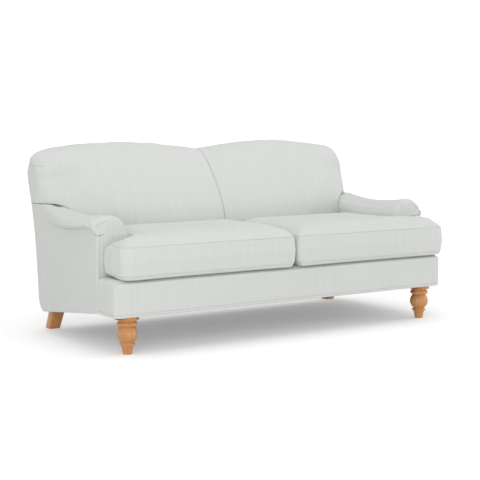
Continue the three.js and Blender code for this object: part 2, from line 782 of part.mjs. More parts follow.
function addBack() {
  const middle = smoothShares(lobeShares, lobeSteps);
  const end = smoothShares(lobeEndShares, lobeSteps);
  const rings = lobeAcrossShares.map((share) => {
    const x = seamHalf + (sidePlane - seamHalf) * share;
    return lobeRing(x, middle, end);
  });
  const base = borderTop;
  const behind = headReach + cutOver;
  const reach = webbingThickness + 2 * gap;
  const rollMiddle = armInner + armWidth * rollMiddleShare;
  const overArm = block(rollMiddle, sidePlane + cutOver, 0, behind, base - cutOver, lobeFoot);
  const frameSpace = acrossPrism(-cutOver, frameSide + gap, [
    [frameFront(base - cutOver) - reach, base - cutOver],
    [behind, base - cutOver],
    [behind, topRailBottom],
    [frameFront(topRailBottom) - reach, topRailBottom],
  ]);
  const railSpace = topRail(-1, gap, reach);
  const inside = backBends.filter((z) => z >= lobeFoot).map((z) => [outerBack(z) - coverDepth - gap, z]);
  const top = panelTop + gap;
  const panelSpace = acrossPrism(-cutOver, sidePlane + cutOver, [
    [outerBack(lobeFoot - cutOver) - coverDepth - gap, lobeFoot - cutOver],
    ...inside,
    [outerBack(top) - coverDepth - gap, top],
    [behind, top],
    [behind, lobeFoot - cutOver],
  ]);
  const pad = cut(loft(rings, fromSide), overArm, armShape(gap), frameSpace, railSpace, panelSpace);
  placePair('back_pad', pad, 'cloth');
}

function addOuterBack() {
  const rings = [];
  const inset = (angle) => outerBackEdge * (1 - Math.cos(angle));
  const ringAt = (x, edge) => {
    const outer = [];
    for (let k = cornerSteps; k > 0; k -= 1) {
      const angle = (Math.PI / 2) * (k / cornerSteps);
      const z = backFootHeight + outerBackEdge * (1 - Math.sin(angle));
      outer.push([outerBack(z) - Math.max(edge, inset(angle)), z]);
    }
    outer.push(...backBends.slice(1).map((z) => [outerBack(z) - edge, z]));
    const inner = outer.map(([, z]) => [outerBack(z) - coverDepth, z]).reverse();
    return [...outer, ...inner].map(([y, z]) => new THREE.Vector3(x, y, z));
  };
  for (let k = cornerSteps; k >= 0; k -= 1) {
    const angle = (Math.PI / 2) * (k / cornerSteps);
    rings.push(ringAt(sidePlane - outerBackEdge * (1 - Math.sin(angle)), inset(angle)));
  }
  const left = [...rings].reverse().map((ring) => ring.map((p) => new THREE.Vector3(-p.x, p.y, p.z)));
  place('outer_back_panel', loft([...rings, ...left], fromSide), 'cloth');
}

function addDustCover(holes) {
  const front = coverDepth + gap;
  const back = outerBack(backFootHeight) - coverDepth - gap;
  const over = dustClothThickness;
  const sheet = acrossPrism(-frameSide, frameSide, [
    [front, borderBottom],
    [armSetback, borderBottom],
    [back, underside(back)],
    [back, underside(back) + over],
    [armSetback, borderBottom + over],
    [front, borderBottom + over],
  ]);
  place('dust_cover', cut(sheet, ...holes, ...holes.map(mirrored)), 'dustCloth');
}

// A leg's bolt goes through the dust cover into a threaded insert in the block above
function addFixings(name, x, y, blockSolid) {
  const radius = boltDiameter / 2;
  const legTop = underside(y) - gap;
  const insertFloor = frameFloor(y - insertDiameter / 2);
  const low = legTop - boltInLeg;
  const high = insertFloor + boltInBlock;
  const rod = (grow) => turned(
    [[0, low - grow], [radius + grow, low - grow], [radius + grow, high + grow], [0, high + grow]],
    boltSides,
    x,
    y,
    0,
  );
  const pocketTop = insertFloor + insertLength + gap;
  const pocketRadius = insertDiameter / 2 + gap;
  const pocketLow = insertFloor - cutOver;
  const pocket = turned(
    [[0, pocketLow], [pocketRadius, pocketLow], [pocketRadius, pocketTop], [0, pocketTop]],
    boltSides,
    x,
    y,
    0,
  );
  const bore = insertDiameter / 2 - insertWall;
  const insertTop = insertFloor + insertLength;
  const insert = turned(
    [
      [bore, insertFloor],
      [insertDiameter / 2, insertFloor],
      [insertDiameter / 2, insertTop],
      [bore, insertTop],
      [bore, insertFloor],
    ],
    boltSides,
    x,
    y,
    0,
  );
  placePair(`${name}_leg_block`, cut(blockSolid, pocket, rod(gap)), 'frameWood');
  placePair(`${name}_threaded_insert`, insert, 'steel');
  placePair(`${name}_leg_bolt`, rod(0), 'steel');
  return rod(gap);
}

function addFrontLegs() {
  const outer = frameSide - sideRailThickness - gap;
  const inner = outer - blockLength;
  const front = coverDepth + 2 * gap + railThickness;
  const back = front + blockLength;
  const floor = frameFloor(0);
  const corner = uprightPrism(floor, floor + frontBlockHeight, [
    [inner, front],
    [outer, front],
    [outer, back],
    [inner + blockChamfer, back],
    [inner, back - blockChamfer],
  ]);
  const hole = addFixings('front', frontLegOut, frontLegInset, corner);
  const height = borderBottom - gap;
  const profile = legShares.map(([radius, up]) => [(legGirth / 2) * radius, height * up]);
  const leg = turned(profile, turningSides, frontLegOut, frontLegInset, 0);
  placePair('front_leg', cut(leg, hole), 'turnedWood');
  return hole;
}

// A square ring with small chamfers, about a middle
function squareRing(x, y, width, depth, height) {
  const [halfX, halfY] = [width / 2, depth / 2];
  const ring = [
    [-halfX + legChamfer, -halfY],
    [halfX - legChamfer, -halfY],
    [halfX, -halfY + legChamfer],
    [halfX, halfY - legChamfer],
    [halfX - legChamfer, halfY],
    [-halfX + legChamfer, halfY],
    [-halfX, halfY - legChamfer],
    [-halfX, -halfY + legChamfer],
  ];
  return ring.map(([dx, dy]) => new THREE.Vector3(x + dx, y + dy, height(y + dy)));
}

function addBackLegs() {
  const blockRear = outerBack(backFootHeight) - coverDepth - 2 * gap;
  const blockFront = blockRear - backBlockDepth;
  const blockTop = railTop - backRailHeight - gap;
  const corner = acrossPrism(postInner - gap - blockLength, postInner - gap, [
    [blockFront, frameFloor(blockFront)],
    [blockRear, frameFloor(blockRear)],
    [blockRear, blockTop],
    [blockFront, blockTop],
  ]);
  const hole = addFixings('back', backLegOut, backLegTopAt, corner);
  const footAt = backLegTopAt + backLegRake;
  const foot = squareRing(backLegOut, footAt, backLegFootWidth, backLegFootDepth, () => 0);
  const meetsBody = (y) => underside(y) - gap;
  const top = squareRing(backLegOut, backLegTopAt, backLegTopWidth, backLegTopDepth, meetsBody);
  placePair('back_leg', cut(loft([foot, top], fromAbove), hole), 'turnedWood');
  return hole;
}

// A closed outline with round corners, whose straight runs pull in between the corners
function cushionOutline(corners) {
  const count = corners.length;
  const at = (k) => new THREE.Vector2(...corners[(k + count) % count]);
  const radius = (k) => corners[(k + count) % count][2];
  const towards = (from, to, distance) => to.clone().sub(from).setLength(distance).add(from);
  const outline = [];
  for (let k = 0; k < count; k += 1) {
    const start = towards(at(k), at(k - 1), radius(k));
    const end = towards(at(k), at(k + 1), radius(k));
    outline.push(...new THREE.QuadraticBezierCurve(start, at(k), end).getPoints(cornerSteps));
    const next = towards(at(k + 1), at(k), radius(k + 1));
    const run = next.clone().sub(end);
    const steps = Math.max(1, Math.round(run.length() / cushionStep));
    const inward = new THREE.Vector2(-run.y, run.x).normalize();
    for (let s = 1; s < steps; s += 1) {
      const pull = sidePull * Math.sin((Math.PI * s) / steps);
      outline.push(end.clone().addScaledVector(run, s / steps).addScaledVector(inward, pull));
    }
  }
  return outline;
}

function distanceToOutline(point, outline) {
  let nearest = Infinity;
  outline.forEach((start, k) => {
    const run = outline[(k + 1) % outline.length].clone().sub(start);
    const along = point.clone().sub(start).dot(run) / run.lengthSq();
    const foot = start.clone().addScaledVector(run, Math.min(1, Math.max(0, along)));
    nearest = Math.min(nearest, foot.distanceTo(point));
  });
  return nearest;
}

// The right cushion: square behind, with an ear in front of the arm, a boxed side and a crown
function addCushions() {
  const base = borderTop + gap;
  const sideOfArm = armInner - cushionPlay - boxingBulge;
  const front = -cushionOverhang;
  const earBack = armSetback - cushionPlay - boxingBulge;
  const back = seatDepth - cushionBackPlay - boxingBulge;
  const middle = cushionMiddleGap + boxingBulge;
  const outline = cushionOutline([
    [middle, front, smallCorner],
    [cushionReach, front, noseCorner],
    [cushionReach, earBack, smallCorner],
    [sideOfArm, earBack, notchRadius],
    [sideOfArm, back, smallCorner],
    [middle, back, smallCorner],
  ]);
  const ring = (offset, z) => outline.map((point, k) => {
    const before = outline[(k + outline.length - 1) % outline.length];
    const after = outline[(k + 1) % outline.length];
    const run = after.clone().sub(before).normalize();
    return new THREE.Vector3(point.x + run.y * offset, point.y - run.x * offset, z);
  });
  const lowSeam = borderTop + boxingLow;
  const highSeam = borderTop + boxingHigh;
  const rings = [
    ring(-boxingLow * underTuckShare, base),
    ring(-boxingLow * (1 - Math.SQRT1_2), base + boxingLow * (1 - Math.SQRT1_2)),
    ring(0, lowSeam),
  ];
  for (const share of boxingShares) {
    const bulge = boxingBulge * Math.sin(Math.PI * share);
    rings.push(ring(bulge, lowSeam + (highSeam - lowSeam) * share));
  }
  rings.push(ring(0, highSeam));
  const centre = new THREE.Vector2(cushionReach * crownMiddleShare, armSetback * crownFrontShare);
  for (const share of crownShares) {
    rings.push(outline.map((point) => {
      const inside = point.clone().sub(centre).multiplyScalar(share).add(centre);
      const flat = Math.min(1, distanceToOutline(inside, outline) / crownRun);
      const rise = crownRise * (1 - (1 - flat) ** crownPower);
      return new THREE.Vector3(inside.x, inside.y, highSeam + rise);
    }));
  }
  placePair('seat_cushion', loft(rings, fromAbove), 'cloth');
}

addSeatFrame();
addBackFrame();
addSprings();
addDeck();
addBorder();
addArms();
addBack();
addOuterBack();
addDustCover([addFrontLegs(), addBackLegs()]);
addCushions();

// The sofa stands on the floor with the middle of its depth over the origin
const bounds = new THREE.Box3().setFromObject(sofa);
sofa.position.y = -(bounds.min.y + bounds.max.y) / 2;

export default sofa;
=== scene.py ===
import math

import bmesh
import bpy
import numpy as np
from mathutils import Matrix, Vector
from mathutils.kdtree import KDTree


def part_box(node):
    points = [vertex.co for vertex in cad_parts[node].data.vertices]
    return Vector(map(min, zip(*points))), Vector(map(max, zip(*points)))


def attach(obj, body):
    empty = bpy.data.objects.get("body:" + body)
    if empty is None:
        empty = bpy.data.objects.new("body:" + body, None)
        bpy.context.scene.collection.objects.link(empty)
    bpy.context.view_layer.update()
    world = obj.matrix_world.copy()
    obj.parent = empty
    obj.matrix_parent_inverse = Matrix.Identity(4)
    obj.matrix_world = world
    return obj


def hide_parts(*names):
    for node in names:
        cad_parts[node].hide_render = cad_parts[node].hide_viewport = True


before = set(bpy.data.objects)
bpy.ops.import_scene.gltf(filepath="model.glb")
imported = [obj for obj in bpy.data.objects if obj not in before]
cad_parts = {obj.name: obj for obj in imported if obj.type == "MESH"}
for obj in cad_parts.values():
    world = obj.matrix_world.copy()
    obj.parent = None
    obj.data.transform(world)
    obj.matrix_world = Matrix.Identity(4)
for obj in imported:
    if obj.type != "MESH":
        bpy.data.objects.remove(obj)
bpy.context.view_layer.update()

# Lengths are metres: x from the middle plane, y from front to back, z from the floor. The front faces -y.

scene = bpy.context.scene


# Node trees

def new_group(name, inputs, outputs):
    """A shader group with named inputs and outputs, and its two end nodes."""
    group = bpy.data.node_groups.new(name, "ShaderNodeTree")
    for label, kind, value in inputs:
        socket = group.interface.new_socket(name=label, in_out="INPUT", socket_type=kind)
        if value is not None:
            socket.default_value = value
    for label, kind in outputs:
        group.interface.new_socket(name=label, in_out="OUTPUT", socket_type=kind)
    start = group.nodes.new("NodeGroupInput")
    end = group.nodes.new("NodeGroupOutput")
    return group, start, end


def maths(tree, operation, first, second=None, third=None):
    """One sum in a node tree. A socket is linked and a number is written in."""
    node = tree.nodes.new("ShaderNodeMath")
    node.operation = operation
    for k, value in enumerate((first, second, third)):
        if value is None:
            continue
        if isinstance(value, (int, float)):
            node.inputs[k].default_value = value
        else:
            tree.links.new(value, node.inputs[k])
    return node.outputs[0]


def carried_over(tree, value, from_range, to_range):
    """A value carried from one range over to another, and held at its ends."""
    node = tree.nodes.new("ShaderNodeMapRange")
    labels = ("From Min", "From Max", "To Min", "To Max")
    for label, number in zip(labels, (*from_range, *to_range)):
        node.inputs[label].default_value = number
    tree.links.new(value, node.inputs["Value"])
    return node.outputs[0]


def clamped(tree, value):
    """A value held between 0 and 1."""
    node = tree.nodes.new("ShaderNodeClamp")
    tree.links.new(value, node.inputs["Value"])
    return node.outputs[0]


def noise(tree, place, detail, spots):
    """Noise from 0 to 1, with so many spots to the metre along each axis."""
    mapping = tree.nodes.new("ShaderNodeMapping")
    mapping.inputs["Scale"].default_value = spots
    tree.links.new(place, mapping.inputs["Vector"])
    texture = tree.nodes.new("ShaderNodeTexNoise")
    texture.inputs["Scale"].default_value = 1
    texture.inputs["Detail"].default_value = detail
    tree.links.new(mapping.outputs[0], texture.inputs["Vector"])
    return texture.outputs["Fac"]


def mixed(tree, share, first, second):
    """A colour between two, by a share."""
    node = tree.nodes.new("ShaderNodeMix")
    node.data_type = "RGBA"
    tree.links.new(share, node.inputs["Factor"])
    for value, label in ((first, "A"), (second, "B")):
        socket = [s for s in node.inputs if s.name == label and s.type == "RGBA"][0]
        if isinstance(value, tuple):
            socket.default_value = (*value, 1)
        else:
            tree.links.new(value, socket)
    return [s for s in node.outputs if s.type == "RGBA"][0]


def raise_surface(tree, surface, height, strength, distance):
    """Raises a surface by a height that changes over it."""
    bump = tree.nodes.new("ShaderNodeBump")
    bump.inputs["Strength"].default_value = strength
    bump.inputs["Distance"].default_value = distance
    tree.links.new(height, bump.inputs["Height"])
    tree.links.new(bump.outputs[0], surface.inputs["Normal"])


# Camera, floor and light

CAMERA_PLACE = Vector((-3.2637, -4.9128, 1.0381))
CAMERA_AIM = Vector((0.0472, 0.070, 0.4160))
CAMERA_LENS = 87.27
CAMERA_REACH = 100
WHITE = (1, 1, 1, 1)
FLOOR_WIDTH = 60
FLOOR_GREY = (0.88, 0.88, 0.88, 1)
GLOW_RUN = (1.6, 5)             # from the sofa's middle to where the floor's glow is full
GLOW_STRENGTH = (0.27, 0.7)
WORLD_LIGHT = 0.7               # on the object
WORLD_AS_SEEN = 1.1             # behind it

# Each softbox has its place, its aim, its width, its height and its power.
LAMPS = (
    ("overhead_softbox", (0, -0.2, 4.2), (0, 0, 0), 4, 3, 30),
    ("front_left_softbox", (-4, -4.5, 2), (0, 0, 0.4), 3, 3, 96),
    ("right_softbox", (5.5, -1.5, 2.5), (0, 0, 0.4), 3, 3, 24),
    ("low_right_softbox", (5, -3, 0.9), (0, 0, 0.4), 3, 1.5, 40),
)


def turned_to(place, aim):
    """The turn of a camera or lamp that looks from a place at its aim."""
    return (Vector(aim) - Vector(place)).to_track_quat("-Z", "Y").to_euler()


def add_camera():
    data = bpy.data.cameras.new("camera")
    data.lens = CAMERA_LENS
    data.sensor_width = 36
    data.clip_end = CAMERA_REACH
    camera = bpy.data.objects.new("camera", data)
    scene.collection.objects.link(camera)
    camera.location = CAMERA_PLACE
    camera.rotation_euler = turned_to(CAMERA_PLACE, CAMERA_AIM)
    scene.camera = camera


def seen_or_mirrored(tree):
    """1 for a ray from the camera, or one that a glossy or clear surface passes on."""
    path = tree.nodes.new("ShaderNodeLightPath").outputs
    seen = maths(tree, "MAXIMUM", path["Is Camera Ray"], path["Is Glossy Ray"])
    return maths(tree, "MAXIMUM", seen, path["Is Transmission Ray"])


def add_floor():
    """A matte floor that looks brighter further out, so that it passes into the white behind it."""
    bpy.ops.mesh.primitive_plane_add(size=FLOOR_WIDTH, location=(0, 0, 0))
    floor = bpy.context.object
    floor.name = "studio_floor"
    material = bpy.data.materials.new("studio_floor")
    material.use_nodes = True
    tree = material.node_tree
    tree.nodes.clear()
    matte = tree.nodes.new("ShaderNodeBsdfDiffuse")
    matte.inputs["Color"].default_value = FLOOR_GREY
    lift = tree.nodes.new("ShaderNodeEmission")
    lift.inputs["Color"].default_value = WHITE
    place = tree.nodes.new("ShaderNodeTexCoord")
    away = tree.nodes.new("ShaderNodeVectorMath")
    away.operation = "LENGTH"
    tree.links.new(place.outputs["Object"], away.inputs[0])
    glow = carried_over(tree, away.outputs["Value"], GLOW_RUN, GLOW_STRENGTH)
    tree.links.new(maths(tree, "MULTIPLY", seen_or_mirrored(tree), glow), lift.inputs["Strength"])
    both = tree.nodes.new("ShaderNodeAddShader")
    tree.links.new(matte.outputs[0], both.inputs[0])
    tree.links.new(lift.outputs[0], both.inputs[1])
    out = tree.nodes.new("ShaderNodeOutputMaterial")
    tree.links.new(both.outputs[0], out.inputs["Surface"])
    floor.data.materials.append(material)


def add_world():
    world = bpy.data.worlds.new("studio")
    scene.world = world
    world.use_nodes = True
    tree = world.node_tree
    back = tree.nodes["Background"]
    back.inputs["Color"].default_value = WHITE
    strength = carried_over(tree, seen_or_mirrored(tree), (0, 1), (WORLD_LIGHT, WORLD_AS_SEEN))
    tree.links.new(strength, back.inputs["Strength"])


def add_lamp(name, place, aim, width, height, power):
    data = bpy.data.lights.new(name, "AREA")
    data.shape = "RECTANGLE"
    data.size = width
    data.size_y = height
    data.energy = power
    lamp = bpy.data.objects.new(name, data)
    scene.collection.objects.link(lamp)
    lamp.location = place
    lamp.rotation_euler = turned_to(place, aim)


def add_studio():
    add_camera()
    add_floor()
    add_world()
    for lamp in LAMPS:
        add_lamp(*lamp)
    scene.view_settings.view_transform = "Standard"


# Materials

# Spots to the metre along each axis
WARP_SLUBS = (420, 9, 9)
WEFT_SLUBS = (9, 520, 9)
UPRIGHT_RIBS = (85, 1.5, 1.5)
CLOUDS = (5, 5, 5)
GROWTH_RINGS = (38, 38, 2.6)
STREAKS = (260, 260, 9)
PORES = (900, 900, 30)
STEEL_STAINS = (60, 60, 60)
STEEL_SCRATCHES = (900, 900, 90)

# What each of them adds to the tone, the height or the roughness, and how far the bumps stand out
WARP_SHARE, WEFT_SHARE = 0.55, 0.45
THREAD_TONE, SLUB_TONE, CLOUD_TONE = 0.35, 0.5, 0.12
SLUB_HEIGHT = 0.8
CLOTH_ROUGHNESS, SLUB_ROUGHNESS = 0.84, 0.12
CLOTH_RELIEF = 0.0004
CLOTH_GLOSS = 0.2
SHEEN_ROUGHNESS = 0.5

RING_WAVES = 34
RING_TONE, STREAK_TONE, PORE_TONE = 0.34, 0.6, 0.2
PORE_LIMIT = 0.4
WOOD_ROUGHNESS, STREAK_ROUGHNESS = 0.35, 0.2
WOOD_RELIEF, WOOD_BUMP = 0.0003, 0.3
COAT_ROUGHNESS = 0.3

SCRATCH_ROUGHNESS = 0.25
STEEL_RELIEF, STEEL_BUMP = 0.0002, 0.2


def plain_material(name):
    """A new material, its node tree and its shader."""
    material = bpy.data.materials.new(name)
    material.use_nodes = True
    tree = material.node_tree
    return material, tree, tree.nodes["Principled BSDF"]


def place_effect(tree, surface, effect, place, colours, numbers):
    """Puts a shared effect into a material and links its colour and roughness. Gives its height."""
    group = tree.nodes.new("ShaderNodeGroup")
    group.node_tree = effect
    for label, colour in colours.items():
        group.inputs[label].default_value = (*colour, 1)
    for label, number in numbers.items():
        group.inputs[label].default_value = number
    tree.links.new(place, group.inputs["Place"])
    tree.links.new(group.outputs["Colour"], surface.inputs["Base Color"])
    tree.links.new(group.outputs["Roughness"], surface.inputs["Roughness"])
    return group.outputs["Height"]


def weave_group():
    """A plain weave with slubs and fine upright ribs, read from the piece's own map in metres."""
    group, start, end = new_group(
        "plain_weave",
        [
            ("Place", "NodeSocketVector", None),
            ("Colour", "NodeSocketColor", (0.7, 0.7, 0.7, 1)),
            ("Shade", "NodeSocketColor", (0.6, 0.6, 0.6, 1)),
            ("Threads", "NodeSocketFloat", 600.0),
            ("Ribs", "NodeSocketFloat", 0.3),
        ],
        [("Colour", "NodeSocketColor"), ("Height", "NodeSocketFloat"), ("Roughness", "NodeSocketFloat")],
    )
    place = start.outputs["Place"]
    split = group.nodes.new("ShaderNodeSeparateXYZ")
    group.links.new(place, split.inputs[0])
    turns = maths(group, "MULTIPLY", start.outputs["Threads"], math.pi)
    across = maths(group, "SINE", maths(group, "MULTIPLY", split.outputs[0], turns))
    along = maths(group, "SINE", maths(group, "MULTIPLY", split.outputs[1], turns))
    threads = maths(group, "MULTIPLY_ADD", maths(group, "MULTIPLY", across, along), 0.5, 0.5)
    warp = maths(group, "MULTIPLY", noise(group, place, 2, WARP_SLUBS), WARP_SHARE)
    weft = maths(group, "MULTIPLY", noise(group, place, 2, WEFT_SLUBS), WEFT_SHARE)
    slubs = maths(group, "ADD", warp, weft)
    ribs = maths(group, "SUBTRACT", noise(group, place, 1, UPRIGHT_RIBS), 0.5)
    ribs = maths(group, "MULTIPLY", ribs, start.outputs["Ribs"])
    clouds = maths(group, "MULTIPLY", noise(group, place, 3, CLOUDS), CLOUD_TONE)
    tone = maths(group, "MULTIPLY_ADD", threads, THREAD_TONE, maths(group, "MULTIPLY", slubs, SLUB_TONE))
    tone = maths(group, "ADD", maths(group, "ADD", tone, ribs), clouds)
    colour = mixed(group, clamped(group, tone), start.outputs["Shade"], start.outputs["Colour"])
    height = maths(group, "ADD", maths(group, "MULTIPLY_ADD", slubs, SLUB_HEIGHT, threads), ribs)
    roughness = maths(group, "MULTIPLY_ADD", slubs, SLUB_ROUGHNESS, CLOTH_ROUGHNESS)
    group.links.new(colour, end.inputs["Colour"])
    group.links.new(height, end.inputs["Height"])
    group.links.new(roughness, end.inputs["Roughness"])
    return group


def cloth_material(name, colour, shade, threads, ribs, bump, sheen):
    """A woven cloth, with so many threads to the metre."""
    material, tree, surface = plain_material(name)
    surface.inputs["Sheen Weight"].default_value = sheen
    surface.inputs["Sheen Roughness"].default_value = SHEEN_ROUGHNESS
    surface.inputs["Specular IOR Level"].default_value = CLOTH_GLOSS
    place = tree.nodes.new("ShaderNodeTexCoord").outputs["UV"]
    colours = {"Colour": colour, "Shade": shade}
    height = place_effect(tree, surface, weave, place, colours, {"Threads": threads, "Ribs": ribs})
    raise_surface(tree, surface, height, bump, CLOTH_RELIEF)
    return material


def grain_group():
    """Wood grain along one axis of the object, from fine pores to broad rings."""
    group, start, end = new_group(
        "wood_grain",
        [
            ("Place", "NodeSocketVector", None),
            ("Light", "NodeSocketColor", (0.6, 0.35, 0.16, 1)),
            ("Dark", "NodeSocketColor", (0.4, 0.2, 0.08, 1)),
        ],
        [("Colour", "NodeSocketColor"), ("Height", "NodeSocketFloat"), ("Roughness", "NodeSocketFloat")],
    )
    place = start.outputs["Place"]
    rings = noise(group, place, 3, GROWTH_RINGS)
    streaks = noise(group, place, 2, STREAKS)
    pores = maths(group, "LESS_THAN", noise(group, place, 1, PORES), PORE_LIMIT)
    waves = maths(group, "SINE", maths(group, "MULTIPLY", rings, RING_WAVES))
    bands = maths(group, "MULTIPLY", maths(group, "MULTIPLY_ADD", waves, 0.5, 0.5), RING_TONE)
    tone = maths(group, "ADD", bands, maths(group, "MULTIPLY", streaks, STREAK_TONE))
    tone = maths(group, "ADD", tone, maths(group, "MULTIPLY", pores, PORE_TONE))
    colour = mixed(group, clamped(group, tone), start.outputs["Light"], start.outputs["Dark"])
    height = maths(group, "SUBTRACT", maths(group, "MULTIPLY", streaks, 0.5), pores)
    roughness = maths(group, "MULTIPLY_ADD", streaks, STREAK_ROUGHNESS, WOOD_ROUGHNESS)
    group.links.new(colour, end.inputs["Colour"])
    group.links.new(height, end.inputs["Height"])
    group.links.new(roughness, end.inputs["Roughness"])
    return group


def wood_material(name, light, dark, turn, coat):
    """Wood whose grain runs upwards before it is turned."""
    material, tree, surface = plain_material(name)
    surface.inputs["Coat Weight"].default_value = coat
    surface.inputs["Coat Roughness"].default_value = COAT_ROUGHNESS
    place = tree.nodes.new("ShaderNodeTexCoord")
    mapping = tree.nodes.new("ShaderNodeMapping")
    mapping.inputs["Rotation"].default_value = turn
    tree.links.new(place.outputs["Object"], mapping.inputs["Vector"])
    height = place_effect(tree, surface, grain, mapping.outputs[0], {"Light": light, "Dark": dark}, {})
    raise_surface(tree, surface, height, WOOD_BUMP, WOOD_RELIEF)
    return material


def frame_timber(name, turn):
    """Plain unfinished timber, with its grain turned to run along the board."""
    return wood_material(name, (0.62, 0.45, 0.27), (0.42, 0.27, 0.13), turn, coat=0)


def steel_material(name, light, dark, rough):
    """Plain steel with light stains and drawing scratches."""
    material, tree, surface = plain_material(name)
    surface.inputs["Metallic"].default_value = 1
    place = tree.nodes.new("ShaderNodeTexCoord").outputs["Object"]
    stain = noise(tree, place, 3, STEEL_STAINS)
    scratch = noise(tree, place, 2, STEEL_SCRATCHES)
    roughness = maths(tree, "MULTIPLY_ADD", scratch, SCRATCH_ROUGHNESS, rough)
    tree.links.new(mixed(tree, stain, light, dark), surface.inputs["Base Color"])
    tree.links.new(roughness, surface.inputs["Roughness"])
    raise_surface(tree, surface, scratch, STEEL_BUMP, STEEL_RELIEF)
    return material


weave = weave_group()
grain = grain_group()
upholstery = cloth_material(
    "woven_upholstery", colour=(0.71, 0.725, 0.70), shade=(0.60, 0.615, 0.595),
    threads=830, ribs=0.5, bump=0.35, sheen=0.1,
)
platform_cloth = cloth_material(
    "platform_cloth", colour=(0.55, 0.545, 0.52), shade=(0.42, 0.415, 0.40),
    threads=1100, ribs=0.1, bump=0.3, sheen=0.05,
)
dust_cloth = cloth_material(
    "dust_cloth", colour=(0.06, 0.06, 0.06), shade=(0.03, 0.03, 0.03),
    threads=900, ribs=0.1, bump=0.3, sheen=0.0,
)
jute = cloth_material(
    "jute_webbing", colour=(0.45, 0.34, 0.19), shade=(0.26, 0.18, 0.09),
    threads=320, ribs=0.6, bump=0.8, sheen=0.0,
)
oak = wood_material("oiled_oak", (0.70, 0.352, 0.137), (0.45, 0.190, 0.055), (0, 0, 0), coat=0.06)
pine_up = frame_timber("frame_timber_upright", (0, 0, 0))
pine_across = frame_timber("frame_timber_across", (0, math.pi / 2, 0))
pine_deep = frame_timber("frame_timber_deep", (math.pi / 2, 0, 0))
fixing_steel = steel_material("fixing_steel", (0.62, 0.61, 0.58), (0.5, 0.49, 0.46), rough=0.25)
spring_steel = steel_material("spring_steel", (0.3, 0.29, 0.28), (0.16, 0.15, 0.15), rough=0.35)


# Working on a mesh

MERGE = 0.00002


def only(piece):
    """Selects one piece and nothing else."""
    bpy.ops.object.select_all(action="DESELECT")
    piece.select_set(True)
    bpy.context.view_layer.objects.active = piece


def edit(piece):
    """Opens one piece to work on its faces."""
    only(piece)
    bpy.ops.object.mode_set(mode="EDIT")


def done():
    """Closes the piece again."""
    bpy.ops.object.mode_set(mode="OBJECT")


def points(piece):
    """Where each point of a piece lies."""
    flat = np.empty(len(piece.data.vertices) * 3, np.float32)
    piece.data.vertices.foreach_get("co", flat)
    return flat.reshape(-1, 3).astype(float)


def outward(piece):
    """The way that the surface faces at each point."""
    flat = np.empty(len(piece.data.vertices) * 3, np.float32)
    piece.data.vertices.foreach_get("normal", flat)
    return flat.reshape(-1, 3).astype(float)


def put(piece, places):
    """Moves each point of a piece to its new place."""
    piece.data.vertices.foreach_set("co", places.astype(np.float32).ravel())
    piece.data.update()


def widen(places, amount):
    """Moves points away from the middle plane."""
    places[:, 0] += np.sign(places[:, 0]) * amount


def ease(value, low, high):
    """0 below low, 1 above high, and a smooth rise between."""
    share = np.clip((value - low) / (high - low), 0, 1)
    return share * share * (3 - 2 * share)


def fade(value, low, high):
    """1 below low, 0 above high, and a smooth fall between."""
    return 1 - ease(value, low, high)


def share_facing(lean, gain, least=0):
    """How far a surface faces one way, 0 to 1, from how far it leans there."""
    return np.clip(lean * gain - least, 0, 1)


def hump(value, middle, reach):
    """1 in the middle, and nearly 0 at two reaches from it."""
    return np.exp(-(((value - middle) / reach) ** 2))


def read_off(value, line):
    """The second number of a pair, read off a line drawn through pairs."""
    return np.interp(value, *zip(*line))


def copy_of(node, name):
    """A copy of a solid of the frame to work on, with its doubles merged."""
    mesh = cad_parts[node].data.copy()
    mesh.name = name
    mesh.materials.clear()
    piece = bpy.data.objects.new(name, mesh)
    scene.collection.objects.link(piece)
    edit(piece)
    bpy.ops.mesh.select_all(action="SELECT")
    bpy.ops.mesh.remove_doubles(threshold=MERGE)
    done()
    return piece


def remesh(piece, cell, rounds):
    """Gives a solid an even net of faces and rubs down its edges."""
    only(piece)
    piece.data.remesh_voxel_size = cell
    piece.data.remesh_voxel_adaptivity = 0
    bpy.ops.object.voxel_remesh()
    edit(piece)
    bpy.ops.mesh.select_all(action="SELECT")
    bpy.ops.mesh.vertices_smooth(factor=0.5, repeat=rounds)
    done()


def cover_map(piece):
    """Lays the cloth on a piece from its six sides, at one unit to the metre."""
    edit(piece)
    bpy.ops.mesh.select_all(action="SELECT")
    bpy.ops.uv.cube_project(cube_size=1, correct_aspect=False, scale_to_bounds=False)
    done()


def finish_piece(piece, body, node, material):
    """Gives a piece its material and puts it in its solid's place."""
    piece.data.materials.clear()
    piece.data.materials.append(material)
    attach(piece, body)
    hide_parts(node)


def finish_cover(piece, body, node, material):
    """Lays the cloth on a cover whose shape is done, and finishes it."""
    cover_map(piece)
    only(piece)
    bpy.ops.object.shade_smooth()
    finish_piece(piece, body, node, material)


# Stuffing and sewing

FILLING_PRESSURE = 4
FILLING_STEPS = 20
NEIGHBOURS = 12                 # coarse points that a fine point moves with
NEIGHBOUR_BLUR = 0.01
MOST_SWELL = 0.02
SWELL_BAND = (-0.012, 0.015)    # outward movements of the coarse cloth that give no swell and the most
SIDEWAYS_SHARE = 0.15
LEAST_REACH = 0.0002            # where a cover is held fast
SEAM_SIDES = 0.03               # how far above and below a seam the net is cut for it
SEAM_MERGE = 0.0003


